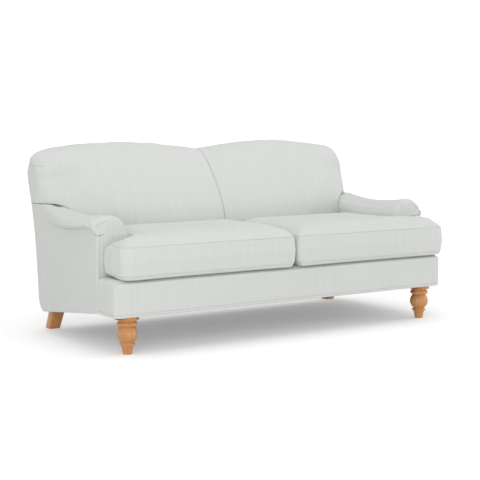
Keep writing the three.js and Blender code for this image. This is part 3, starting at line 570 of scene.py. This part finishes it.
def blow_up(piece, cell):
    """Fills a coarse copy of a cover as cloth, and gives its points at rest and how far each one moved."""
    copy = bpy.data.objects.new(piece.name + "_filling", piece.data.copy())
    scene.collection.objects.link(copy)
    remesh(copy, cell, 1)
    before = points(copy)
    cloth = copy.modifiers.new("stuffing", "CLOTH")
    cloth.settings.use_pressure = True
    cloth.settings.uniform_pressure_force = FILLING_PRESSURE
    cloth.settings.effector_weights.gravity = 0
    for number in range(1, FILLING_STEPS + 1):
        scene.frame_set(number)
    only(copy)
    bpy.ops.object.modifier_apply(modifier=cloth.name)
    scene.frame_set(1)
    moved = points(copy) - before
    bpy.data.objects.remove(copy)
    return before, moved


def carry_over(places, coarse, moved):
    """How the points of a fine net move with the nearest ones of a coarse net."""
    tree = KDTree(len(coarse))
    for number, place in enumerate(coarse):
        tree.insert(place, number)
    tree.balance()
    drift = np.zeros_like(places)
    for number, place in enumerate(places):
        near = tree.find_n(place, NEIGHBOURS)
        share = np.array([1 / (distance + NEIGHBOUR_BLUR) for _, _, distance in near])
        drift[number] = share @ moved[[index for _, index, _ in near]] / share.sum()
    return drift


def stuff(piece, reach, cell):
    """Blows a cover up over its filling, mostly straight outwards. No point moves further than its reach."""
    coarse, moved = blow_up(piece, cell)
    places, normals = points(piece), outward(piece)
    drift = carry_over(places, coarse, moved)
    out = (drift * normals).sum(axis=1)[:, None]
    aside = drift - normals * out
    drift = normals * MOST_SWELL * ease(out, *SWELL_BAND) + SIDEWAYS_SHARE * aside
    far = np.maximum(np.linalg.norm(drift, axis=1), 1e-9)
    put(piece, places + drift * np.minimum(1, reach / far)[:, None])


def fill_cover(piece, free, sunk, reach, cell):
    """Sinks a cover where it is free to swell, and stuffs it out again."""
    put(piece, points(piece) - outward(piece) * sunk * free[:, None])
    stuff(piece, LEAST_REACH + reach * free, cell)


def level_seam(piece, height, width, depth, sewn):
    """Sews a seam round a cover at one height: a narrow groove in the faces that the test names."""
    up = Vector((0, 0, 1))
    edit(piece)
    for shift in (-width / 2, width / 2, 0):
        shell = bmesh.from_edit_mesh(piece.data)
        bpy.ops.mesh.select_all(action="DESELECT")
        for face in shell.faces:
            centre = face.calc_center_median()
            face.select = abs(centre.z - height) < SEAM_SIDES and sewn(centre, face.normal)
        bmesh.update_edit_mesh(piece.data)
        bpy.ops.mesh.bisect(plane_co=up * (height + shift), plane_no=up, threshold=SEAM_MERGE)
    done()
    flags = np.zeros(len(piece.data.vertices), bool)
    piece.data.vertices.foreach_get("select", flags)
    put(piece, points(piece) - outward(piece) * (depth * flags)[:, None])


# Places on the sofa

ARM_FRONT = -0.281
ARM_INSIDE = 0.795
TIMBER_SIDE = 0.934             # just outside the posts and rails at each end
DECK = 0.335


# Seat cushions

CUSHION_CELL = 0.005
CUSHION_FILLING_CELL = 0.011
LOW_SEAM = DECK + 0.018
HIGH_SEAM = DECK + 0.146
CUSHION_SLIP = {"left": 0.015, "right": 0.019}
EAR_END = 0.934                 # where the flat end of an ear begins
EAR_REACH = {"left": 0.0, "right": 0.012}
EAR_SAG = {"left": 0.010, "right": 0.0}
OUTER_SAG = {"left": 0.004, "right": 0.0}
EAR_TAPER = 0.006               # how far an ear's rear edge comes back to the arm
EAR_UNDERCUT = 0.012            # how far an ear's underside rises before the arm
EAR_FLATNESS = 0.75
FRONT_HANG = 0.004              # how far the front edge hangs before the border
INNER_CORNER = 0.012            # rounding of the lower front corner beside the gap
OVERHANG = -0.461               # what lies before this place isn't held up by the deck


def slip_cushion(places, slip):
    """Both cushions have slipped to the right: their ears and the gap between them, not beside the arms."""
    x, y = np.abs(places[:, 0]), places[:, 1]
    before_arms = fade(y, -0.42, -0.305)
    in_ear = ease(x, 0.79, 0.83) * (y < -0.28)
    beside_gap = fade(x, 0.15, 0.6)
    places[:, 0] += slip * np.maximum(np.maximum(before_arms, in_ear), beside_gap)


def flatten_end(places, reach):
    """Presses the outer end of an ear nearly flat."""
    over = np.maximum(0, np.abs(places[:, 0]) - EAR_END - reach)
    widen(places, -over * EAR_FLATNESS)


def shape_ear(places, side):
    """An ear tapers towards the arm, and the cushion's front edge hangs down a little before the border."""
    x, y, z = np.abs(places[:, 0]), places[:, 1].copy(), places[:, 2].copy()
    before_arm = y < ARM_FRONT - 0.004
    in_ear = ease(x, ARM_INSIDE, ARM_INSIDE + 0.015) * before_arm
    outer = ease(x, 0.80, 0.92) * before_arm
    upper = ease(z, 0.36, HIGH_SEAM)
    lower = fade(z, LOW_SEAM, LOW_SEAM + 0.08)
    places[:, 0] += EAR_REACH[side] * outer
    places[:, 1] += EAR_TAPER * ease(y, -0.40, -0.30) * in_ear
    places[:, 2] -= EAR_SAG[side] * ease(y, -0.46, -0.30) * outer * upper
    places[:, 2] -= OUTER_SAG[side] * ease(x, 0.60, 0.85) * upper
    places[:, 2] += EAR_UNDERCUT * ease(y, -0.45, -0.30) * outer * lower
    places[:, 2] -= FRONT_HANG * fade(y, -0.472, -0.462) * fade(z, 0.338, 0.40)
    corner = fade(x, 0.005, 0.045) * fade(z, 0.338, 0.372) ** 2 * fade(y, -0.42, -0.36)
    widen(places, INNER_CORNER * corner)


def beside_seams(z):
    """0 on either seam line, 1 well away from both."""
    nearer = np.minimum(np.abs(z - HIGH_SEAM), np.abs(z - LOW_SEAM))
    return ease(nearer, 0.002, 0.03)


def below_top(centre, normal):
    return normal.z < 0.96


def above_bottom(centre, normal):
    return normal.z > -0.96


def add_cushion(side):
    """A loose cushion with a crown, boxed by two seams."""
    node = side + "_seat_cushion"
    piece = copy_of(node, side + "_cushion")
    remesh(piece, CUSHION_CELL, 2)
    z, normals = points(piece)[:, 2], outward(piece)
    top = share_facing(normals[:, 2], 1.2)
    front = share_facing(-normals[:, 1], 1.2, 0.2)
    free = np.minimum(1, top + front) * beside_seams(z)
    fill_cover(piece, free, sunk=0.003, reach=0.006, cell=CUSHION_FILLING_CELL)
    places = points(piece)
    shape_ear(places, side)
    on_deck = places[:, 1] > OVERHANG
    places[on_deck, 2] = np.maximum(places[on_deck, 2], DECK + 0.0003)
    flatten_end(places, EAR_REACH[side])
    slip_cushion(places, CUSHION_SLIP[side])
    put(piece, places)
    level_seam(piece, HIGH_SEAM, width=0.005, depth=0.004, sewn=below_top)
    level_seam(piece, LOW_SEAM, width=0.005, depth=0.004, sewn=above_bottom)
    finish_cover(piece, node, node, upholstery)


# Back

LOBE_CELL = 0.006
LOBE_FILLING_CELL = 0.012
END_SEAM = 0.809

# Each height at a lobe's end, and how far back its front edge lies there
FRONT_AT_END = (
    (0.62, 0.225), (0.66, 0.245), (0.70, 0.265), (0.75, 0.293), (0.81, 0.311), (0.85, 0.330), (0.88, 0.350),
)
END_PUSH = {"left": 1.0, "right": 0.35}
END_FORWARD = 0.020             # how far the end is stuffed forwards
END_FORWARD_ABOVE = 0.010       # and how much further in its upper part
END_REAR = 0.010                # how far the end's rear edge is filled out
END_WIDER = 0.002
SHOULDER_RISE = 0.006
SHOULDER_EDGE = 0.008           # how far the shoulder drops again at its outer edge
LEFT_REAR = 0.014               # how far the left shoulder's rear edge lies forward
LEFT_EDGE = 0.004               # and its outer edge inwards
RIGHT_END_IN = 0.006            # how far the right end lies inwards
RIGHT_SHOULDER_IN = 0.010       # and how much further at the shoulder
BESIDE_POST = 0.55              # share of both that is left off beside the back post

# How far the crest of each lobe lies below or above the solid's
LEFT_VALLEY_DROP = 0.004
LEFT_CREST_RISE = 0.0015
LEFT_SHOULDER_RISE = 0.0025
RIGHT_CREST_RISE = 0.004
RIGHT_SHOULDER_DROP = 0.005

# The line along which a lobe stands on the arm: its height, where it has it, and its slope outwards
ARM_TOP = 0.60
ARM_TOP_FROM = 0.73
ARM_TOP_SLOPE = 0.75

OUTER_BACK_FORWARD = 0.005      # how far the outer back's front edge at each end is drawn forwards
CORNER_DEEP = 0.078             # rounding of the lowest rear corner, from front to back
CORNER_HIGH = 0.125             # and upwards
UNDERSIDE_LOW = 0.097           # lowest height of the underside, at the back
UNDERSIDE_RISE = 0.12           # how steeply it rises forwards
RISE_FROM = 0.335               # and from which place on
BACK_FOOT = 0.366               # foot of the outer back
BACK_FOOT_HEIGHT = 0.105
BACK_LEAN = 0.077
BEFORE_POST = 0.350             # the cover over the timber stays behind this place


def fill_end(places, side):
    """Stuffs the outer end of a lobe to a flat end face, and its shoulder up. The right end is rounder."""
    x, y, z = np.abs(places[:, 0]), places[:, 1].copy(), places[:, 2].copy()
    behind_front = y - read_off(z, FRONT_AT_END)
    at_end = ease(x, 0.90, 0.94)
    forward = END_PUSH[side] * (END_FORWARD + END_FORWARD_ABOVE * ease(z, 0.64, 0.76))
    end_face = ease(x, 0.84, 0.948) * fade(behind_front, 0.09, 0.15) * ease(z, 0.60, 0.66)
    places[:, 1] -= forward * end_face * fade(z, 0.775, 0.835)
    places[:, 1] += END_REAR * hump(z, 0.68, 0.05) * at_end * ease(behind_front, 0.11, 0.17)
    on_crest = ease(y, 0.37, 0.43) * ease(z, 0.80, 0.86)
    rise = SHOULDER_RISE * ease(x, 0.80, 0.87) - SHOULDER_EDGE * ease(x, 0.925, 0.95)
    places[:, 2] += rise * on_crest
    wider = END_WIDER * ease(x, 0.93, 0.946)
    if side == "left":
        places[:, 1] -= LEFT_REAR * ease(z, 0.78, 0.83) * at_end * ease(y, 0.43, 0.47)
        wider -= LEFT_EDGE * ease(x, 0.92, 0.946) * ease(z, 0.77, 0.82)
    else:
        inwards = RIGHT_END_IN + RIGHT_SHOULDER_IN * ease(z, 0.74, 0.81)
        inwards *= 1 - BESIDE_POST * ease(y, 0.335, 0.37)
        wider -= inwards * ease(x, 0.84, 0.94) * ease(z, 0.66, 0.74)
    widen(places, wider)


def shape_crest(places, side):
    """The two humps aren't quite alike: the left one dips later and the right one falls off sooner."""
    x, upper = np.abs(places[:, 0]), ease(places[:, 2], 0.70, 0.85)
    if side == "left":
        drop = LEFT_VALLEY_DROP * hump(x, 0.16, 0.10) - LEFT_CREST_RISE * ease(x, 0.3, 0.45)
        drop -= LEFT_SHOULDER_RISE * hump(x, 0.72, 0.1)
    else:
        drop = RIGHT_SHOULDER_DROP * ease(x, 0.45, 0.80) - RIGHT_CREST_RISE * hump(x, 0.45, 0.2)
    places[:, 2] -= drop * upper


def on_lobe_end(centre, normal):
    return abs(normal.x) > 0.5 and abs(centre.x) > 0.9


def add_lobe(side):
    """A tight lobe of the back. It swells least near the arm, the deck and the middle seam."""
    node = side + "_back_pad"
    piece = copy_of(node, side + "_back_lobe")
    remesh(piece, LOBE_CELL, 4)
    places, normals = points(piece), outward(piece)
    x, z = np.abs(places[:, 0]), places[:, 2]
    front = share_facing(-normals[:, 1], 1.3)
    top = share_facing(normals[:, 2], 1.3)
    above_arm = z - (ARM_TOP + ARM_TOP_SLOPE * (x - ARM_TOP_FROM))
    free = np.minimum(1, front + top) * ease(z, 0.36, 0.5) * ease(x, 0.01, 0.08)
    free *= ease(above_arm, 0.02, 0.09)
    fill_cover(piece, free, sunk=0.003, reach=0.006, cell=LOBE_FILLING_CELL)
    places = points(piece)
    fill_end(places, side)
    shape_crest(places, side)
    put(piece, places)
    level_seam(piece, END_SEAM, width=0.004, depth=0.003, sewn=on_lobe_end)
    finish_cover(piece, "sofa_frame", node, upholstery)


def round_back_corner(places):
    """Rounds the lowest rear corner of the covers at each end of the sofa, clear of the timber inside."""
    x, y, z = np.abs(places[:, 0]), places[:, 1], places[:, 2]
    low = UNDERSIDE_LOW + UNDERSIDE_RISE * np.maximum(0, RISE_FROM - y)
    back = BACK_FOOT + BACK_LEAN * (z - BACK_FOOT_HEIGHT)
    into_y = np.maximum(0, y - (back - CORNER_DEEP)) / CORNER_DEEP
    into_z = np.maximum(0, (low + CORNER_HIGH) - z) / CORNER_HIGH
    far = np.hypot(into_y, into_z)
    inside = np.where((far > 1) & (into_z > 0), 1 / np.maximum(far, 1e-9), 1)
    share = ease(x, 0.90, 0.94)
    behind = y + (into_y * inside - into_y) * CORNER_DEEP * share
    above = z - (into_z * inside - into_z) * CORNER_HIGH * share
    over_timber = x < TIMBER_SIDE
    places[:, 1] = np.where(over_timber, np.maximum(behind, np.minimum(y, BEFORE_POST)), behind)
    places[:, 2] = np.where(over_timber, z, above)


def add_outer_back():
    """The panel across the back, from one end of the sofa to the other."""
    piece = copy_of("outer_back_panel", "outer_back_cover")
    remesh(piece, LOBE_CELL, 3)
    places, normals = points(piece), outward(piece)
    front_edge = ease(np.abs(places[:, 0]), TIMBER_SIDE, 0.940) * ease(-normals[:, 1], 0.1, 0.5)
    places[:, 1] -= OUTER_BACK_FORWARD * front_edge
    round_back_corner(places)
    put(piece, places)
    finish_cover(piece, "sofa_frame", "outer_back_panel", upholstery)


# Arms

ARM_CELL = 0.004
ARM_FILLING_CELL = 0.009

# Each place along the arm, and how far the line under the roll climbs there
LIP_REACH = (
    (-0.287, 0.006), (-0.262, 0.012), (-0.236, 0.019), (-0.21, 0.016), (-0.15, 0.009), (-0.032, 0.004),
    (0.121, 0.002), (0.211, 0.006), (0.268, 0.012), (0.33, 0),
)
FACING_LIP = 0.013              # and over the facing
ROLL_HANG = {"left": 0.0, "right": 0.022}
ROLL_SLACK = {"left": 0.009, "right": 0.014}
LEFT_NOSE_DROP = 0.003
RIGHT_FRONT_RISE = 0.0035
RIGHT_REAR_DROP = 0.004
LOBE_HOLLOW = 0.009             # how far a lobe presses the roll in

# Each crease is a line of places across and up the roll's front end, its depth, its width, and how much of
# the depth is left at the line's end.
FOLDS = (
    (((0.976, 0.574), (0.972, 0.550), (0.963, 0.533), (0.948, 0.513)), 0.0100, 0.0036, 1),
    (((0.944, 0.564), (0.930, 0.571), (0.905, 0.580), (0.868, 0.589)), 0.0070, 0.0042, 0),
    (((0.966, 0.570), (0.957, 0.588), (0.950, 0.604)), 0.0040, 0.0036, 0.3),
    (((0.960, 0.600), (0.945, 0.598), (0.925, 0.604)), 0.0022, 0.0045, 0),
    (((0.962, 0.546), (0.940, 0.551), (0.905, 0.555)), 0.0024, 0.0050, 0),
)

PANEL_STEP = 0.006              # between the places where the panel's top edge is measured
PANEL_REAR = 0.41
TUCK_AT_FRONT = 0.001           # how far the panel runs up behind the roll's lip
TUCK_BEHIND = 0.011             # and how much further behind the front corner
LOBE_FOOT = 0.620
PANEL_CREASE = 0.007            # depth of the crease below the lip at the front corner
PANEL_BACK_EDGE = 0.004         # how far the rear edge is stuffed out
JOINT_DEPTH = 0.0035            # of the joint between panel and border
JOINT_DEPTH_LOST = 0.002        # in its upper part
FACING_RISE = 0.004             # how far the facing runs up behind the roll
FACING_FORWARD = 0.003          # how far its upper edge comes forward
FACING_OUTER_BACK = 0.005       # and its outer side goes back


def lip_lift(y):
    """How far the line under the roll climbs above the solid's: most where it turns down at the front."""
    return read_off(y, LIP_REACH)


def shape_roll(places, side):
    """Shapes the roll's front end and lifts its lower edge. The right roll hangs further out."""
    x, y, z = np.abs(places[:, 0]), places[:, 1].copy(), places[:, 2].copy()
    nose = fade(y, -0.24, -0.16)
    hang = ROLL_HANG[side] * fade(z, 0.525, 0.56)
    slack = ROLL_SLACK[side] * ease(z, 0.565, 0.59) * fade(z, 0.60, 0.62)
    widen(places, (hang - slack) * nose * ease(x, 0.90, 0.96))
    places[:, 2] += lip_lift(y) * ease(x, 0.90, 0.945) * fade(z, 0.535, 0.575)
    places[:, 2] += FACING_LIP * fade(x, 0.915, 0.945) * fade(z, 0.51, 0.565) * fade(y, -0.25, -0.20)
    if side == "left":
        places[:, 2] -= LEFT_NOSE_DROP * nose * ease(z, 0.59, 0.61)
    else:
        rise = RIGHT_FRONT_RISE * fade(y, -0.13, -0.04) - RIGHT_REAR_DROP * ease(y, -0.02, 0.10)
        places[:, 2] += rise * ease(z, 0.57, 0.60)


def fold(x, z, line, width, last):
    """1 on a line drawn on the roll's front end, 0 well beside it, and less towards the line's end."""
    best = np.zeros(len(x))
    legs = len(line) - 1
    for k in range(legs):
        (x0, z0), (x1, z1) = line[k], line[k + 1]
        run = ((x - x0) * (x1 - x0) + (z - z0) * (z1 - z0)) / ((x1 - x0) ** 2 + (z1 - z0) ** 2)
        run = np.clip(run, 0, 1)
        aside = np.hypot(x - x0 - run * (x1 - x0), z - z0 - run * (z1 - z0))
        strength = 1 + (last - 1) * (k + run) / legs
        best = np.maximum(best, hump(aside, 0, width) * strength)
    return best


def gather(places, normals):
    """Creases where the cloth is gathered at the lower outer corner of the roll's front end."""
    x, y, z = np.abs(places[:, 0]), places[:, 1], places[:, 2]
    front = fade(y, ARM_FRONT + 0.02, ARM_FRONT + 0.05)
    sink = np.zeros(len(x))
    for line, depth, width, last in FOLDS:
        sink = np.maximum(sink, depth * fold(x, z, line, width, last))
    return places - normals * (sink * front)[:, None]


def add_arm(side):
    """The stuffed roll of an arm, gathered at its front end and hollow where the lobe stands over it."""
    node = side + "_arm_pad"
    piece = copy_of(node, side + "_arm_roll")
    remesh(piece, ARM_CELL, 3)
    places, normals = points(piece), outward(piece)
    sideways = np.sign(places[:, 0]) * normals[:, 0]
    outer = share_facing(np.maximum(normals[:, 2], sideways * 0.7), 1.3)
    free = outer * ease(places[:, 2], 0.54, 0.57) * fade(places[:, 1], 0.0, 0.15)
    fill_cover(piece, free, sunk=0.002, reach=0.003, cell=ARM_FILLING_CELL)
    places = points(piece)
    x, y, z = np.abs(places[:, 0]), places[:, 1], places[:, 2]
    below_lobe = hump(x, 0.880, 0.020) * ease(y, 0.10, 0.16) * fade(y, 0.28, 0.32)
    places[:, 2] -= LOBE_HOLLOW * below_lobe * ease(z, 0.57, 0.59)
    shape_roll(places, side)
    put(piece, places)
    put(piece, gather(points(piece), outward(piece)))
    finish_cover(piece, "sofa_frame", node, upholstery)


def tuck_panel(places):
    """Carries the panel's top edge on up behind the lip of the roll, so that no gap shows between them."""
    y, z = places[:, 1], places[:, 2]
    stations = np.arange(ARM_FRONT + 0.003, PANEL_REAR, PANEL_STEP)
    tops = [z[np.abs(y - station) < PANEL_STEP].max() for station in stations]
    top = np.interp(y, stations, tops)
    behind = TUCK_AT_FRONT + TUCK_BEHIND * ease(y, -0.20, -0.15)
    closed = np.maximum(0, LOBE_FOOT - top - behind - lip_lift(y)) * ease(y, 0.205, 0.285)
    near_top = ease(z, top - 0.05, top - 0.004) * fade(y, 0.325, 0.345)
    crease = ease(z, top - 0.010, top - 0.003) * fade(y, -0.235, -0.20)
    widen(places, -PANEL_CREASE * crease * ease(np.abs(places[:, 0]), 0.935, 0.95))
    places[:, 2] += (lip_lift(y) + behind + closed) * near_top


def sink_joint(places, way):
    """Turns a cover's edge in at the arm's front corner, where side panel and border are sewn together.

    The panel lies behind the joint, way 1, and the border before it, way -1.
    """
    x, y, z = np.abs(places[:, 0]), places[:, 1], places[:, 2]
    close = fade((y - ARM_FRONT) * way, 0, 0.006)
    deep = JOINT_DEPTH - JOINT_DEPTH_LOST * ease(z, 0.31, 0.35)
    widen(places, -deep * close * ease(x, 0.935, 0.95))


def add_side_cover(side):
    """The outer panel of an arm, from under the roll down to the underside and back to the rear corner."""
    node = side + "_outer_arm_panel"
    piece = copy_of(node, side + "_side_cover")
    remesh(piece, ARM_CELL, 2)
    places, normals = points(piece), outward(piece)
    rear_edge = ease(normals[:, 1], 0.1, 0.5) * ease(places[:, 1], 0.30, 0.33)
    places[:, 1] += PANEL_BACK_EDGE * rear_edge
    round_back_corner(places)
    tuck_panel(places)
    sink_joint(places, 1)
    put(piece, places)
    finish_cover(piece, "sofa_frame", node, upholstery)


def add_facing(side):
    """The narrow cloth on the arm's front, which runs up behind the lip of the roll."""
    node = side + "_arm_facing"
    piece = copy_of(node, side + "_front_facing")
    remesh(piece, ARM_CELL, 1)
    places = points(piece)
    x, z = np.abs(places[:, 0]), places[:, 2].copy()
    places[:, 2] += (FACING_RISE + FACING_LIP * fade(x, 0.915, 0.945)) * ease(z, 0.46, 0.507)
    places[:, 1] += (FACING_OUTER_BACK * ease(x, 0.87, 0.92) - FACING_FORWARD) * ease(z, 0.485, 0.51)
    put(piece, places)
    finish_cover(piece, "sofa_frame", node, upholstery)


# Border, deck and underside

BORDER_BOTTOM = 0.171
BORDER_HEM = BORDER_BOTTOM + 0.013
BORDER_RIGHT_END = 0.008        # how far the right end stands out
BORDER_FRONT_DROP = 0.007       # how far the cushions press the top edge down at the front
BORDER_END_DROP = 0.004         # and at the ends
DECK_CELL = 0.008


def on_border_face(centre, normal):
    return centre.y < -0.45 or abs(centre.x) > 0.945


def add_border():
    """The border under the cushions, with a hem along its lower edge. Its right end stands further out."""
    piece = copy_of("front_border", "border_cover")
    remesh(piece, ARM_CELL, 4)
    places = points(piece)
    sink_joint(places, -1)
    y = places[:, 1]
    places[:, 0] += BORDER_RIGHT_END * ease(places[:, 0], 0.6, 0.95) * fade(y, -0.42, -0.29)
    drop = BORDER_FRONT_DROP * fade(y, -0.44, -0.42)
    drop += BORDER_END_DROP * ease(np.abs(places[:, 0]), 0.925, 0.95)
    places[:, 2] -= drop * ease(places[:, 2], 0.318, 0.333)
    put(piece, places)
    level_seam(piece, BORDER_HEM, width=0.004, depth=0.0025, sewn=on_border_face)
    finish_cover(piece, "sofa_frame", "front_border", upholstery)


def add_deck():
    """The platform that the cushions lie on."""
    piece = copy_of("seat_deck", "seat_platform")
    remesh(piece, DECK_CELL, 3)
    finish_cover(piece, "sofa_frame", "seat_deck", platform_cloth)


def add_dust_cover():
    """The thin cloth tacked under the rails."""
    piece = copy_of("dust_cover", "bottom_cloth")
    cover_map(piece)
    finish_piece(piece, "sofa_frame", "dust_cover", dust_cloth)


# Legs

LEG_SIDES = 72
LEG_WEAR = 0.003
SHARP_EDGE = math.radians(40)

# Each ring of the turning is its radius and its height above the floor.
LEG_TURNING = (
    (0.0185, 0), (0.0200, 0.0015), (0.0204, 0.004), (0.0262, 0.0350), (0.0272, 0.0362),
    (0.0300, 0.0372), (0.0305, 0.0388), (0.0298, 0.0400), (0.0298, 0.0408), (0.0338, 0.0420),
    (0.0357, 0.0450), (0.0345, 0.0482), (0.0300, 0.0512), (0.0280, 0.0530), (0.0280, 0.0545),
    (0.0312, 0.0570), (0.0370, 0.0630), (0.0417, 0.0700), (0.0450, 0.0780), (0.0466, 0.0855),
    (0.0469, 0.0900), (0.0463, 0.0970), (0.0443, 0.1050), (0.0412, 0.1120), (0.0378, 0.1180),
    (0.0348, 0.1215), (0.0332, 0.1232), (0.0332, 0.1250), (0.0370, 0.1262), (0.0420, 0.1285),
    (0.0448, 0.1325), (0.0457, 0.1370), (0.0448, 0.1412), (0.0418, 0.1448), (0.0380, 0.1466),
    (0.0374, 0.1484), (0.0385, 0.1502), (0.0418, 0.1525), (0.0475, 0.1548), (0.0530, 0.1562),
    (0.0537, 0.1576), (0.0537, 0.1600), (0.0528, 0.1612), (0.0495, 0.1620), (0.0490, 0.1708),
)


def add_front_leg(side):
    """Turned from the foot upwards, ring by ring."""
    node = side + "_front_leg"
    low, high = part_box(node)
    middle = (low + high) / 2
    radius, height = LEG_TURNING[0]
    foot = (middle.x, middle.y, 0)
    bpy.ops.object.select_all(action="DESELECT")
    bpy.ops.mesh.primitive_circle_add(vertices=LEG_SIDES, radius=radius, fill_type="NGON", location=foot)
    piece = bpy.context.object
    piece.name = side + "_turned_leg"
    bpy.ops.object.transform_apply(location=True, rotation=False, scale=False)
    bpy.ops.object.mode_set(mode="EDIT")
    bpy.ops.mesh.select_all(action="SELECT")
    for wider, higher in LEG_TURNING[1:]:
        bpy.ops.mesh.extrude_region_move(TRANSFORM_OT_translate={"value": (0, 0, higher - height)})
        grow = wider / radius
        bpy.ops.transform.resize(value=(grow, grow, 1), center_override=(middle.x, middle.y, higher))
        radius, height = wider, higher
    bpy.ops.mesh.select_all(action="SELECT")
    bpy.ops.mesh.normals_make_consistent(inside=False)
    done()
    only(piece)
    bpy.ops.object.shade_smooth_by_angle(angle=SHARP_EDGE)
    finish_piece(piece, "sofa_frame", node, oak)


def add_back_leg(side):
    """Square and raked, with slightly worn edges."""
    node = side + "_back_leg"
    piece = copy_of(node, side + "_raked_leg")
    only(piece)
    worn = piece.modifiers.new("worn_edges", "BEVEL")
    worn.width = LEG_WEAR
    worn.segments = 3
    worn.angle_limit = SHARP_EDGE
    bpy.ops.object.modifier_apply(modifier=worn.name)
    bpy.ops.object.shade_smooth_by_angle(angle=SHARP_EDGE)
    finish_piece(piece, "sofa_frame", node, oak)


# Inner frame

def timber_for(size):
    """The timber whose grain runs along the longest side."""
    if max(size) == size.x:
        return pine_across
    if max(size) == size.y:
        return pine_deep
    return pine_up


def dress_frame():
    """Gives every solid that stays as it is its own material."""
    for name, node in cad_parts.items():
        low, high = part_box(name)
        if name.endswith("_leg"):
            continue
        if "webbing" in name:
            material = jute
        elif "spring" in name:
            material = spring_steel
        elif "bolt" in name or "insert" in name:
            material = fixing_steel
        else:
            material = timber_for(high - low)
        node.data.materials.clear()
        node.data.materials.append(material)


add_studio()
dress_frame()
for side in ("left", "right"):
    add_cushion(side)
    add_lobe(side)
    add_arm(side)
    add_side_cover(side)
    add_facing(side)
    add_front_leg(side)
    add_back_leg(side)
add_outer_back()
add_border()
add_deck()
add_dust_cover()

bpy.context.view_layer.update()
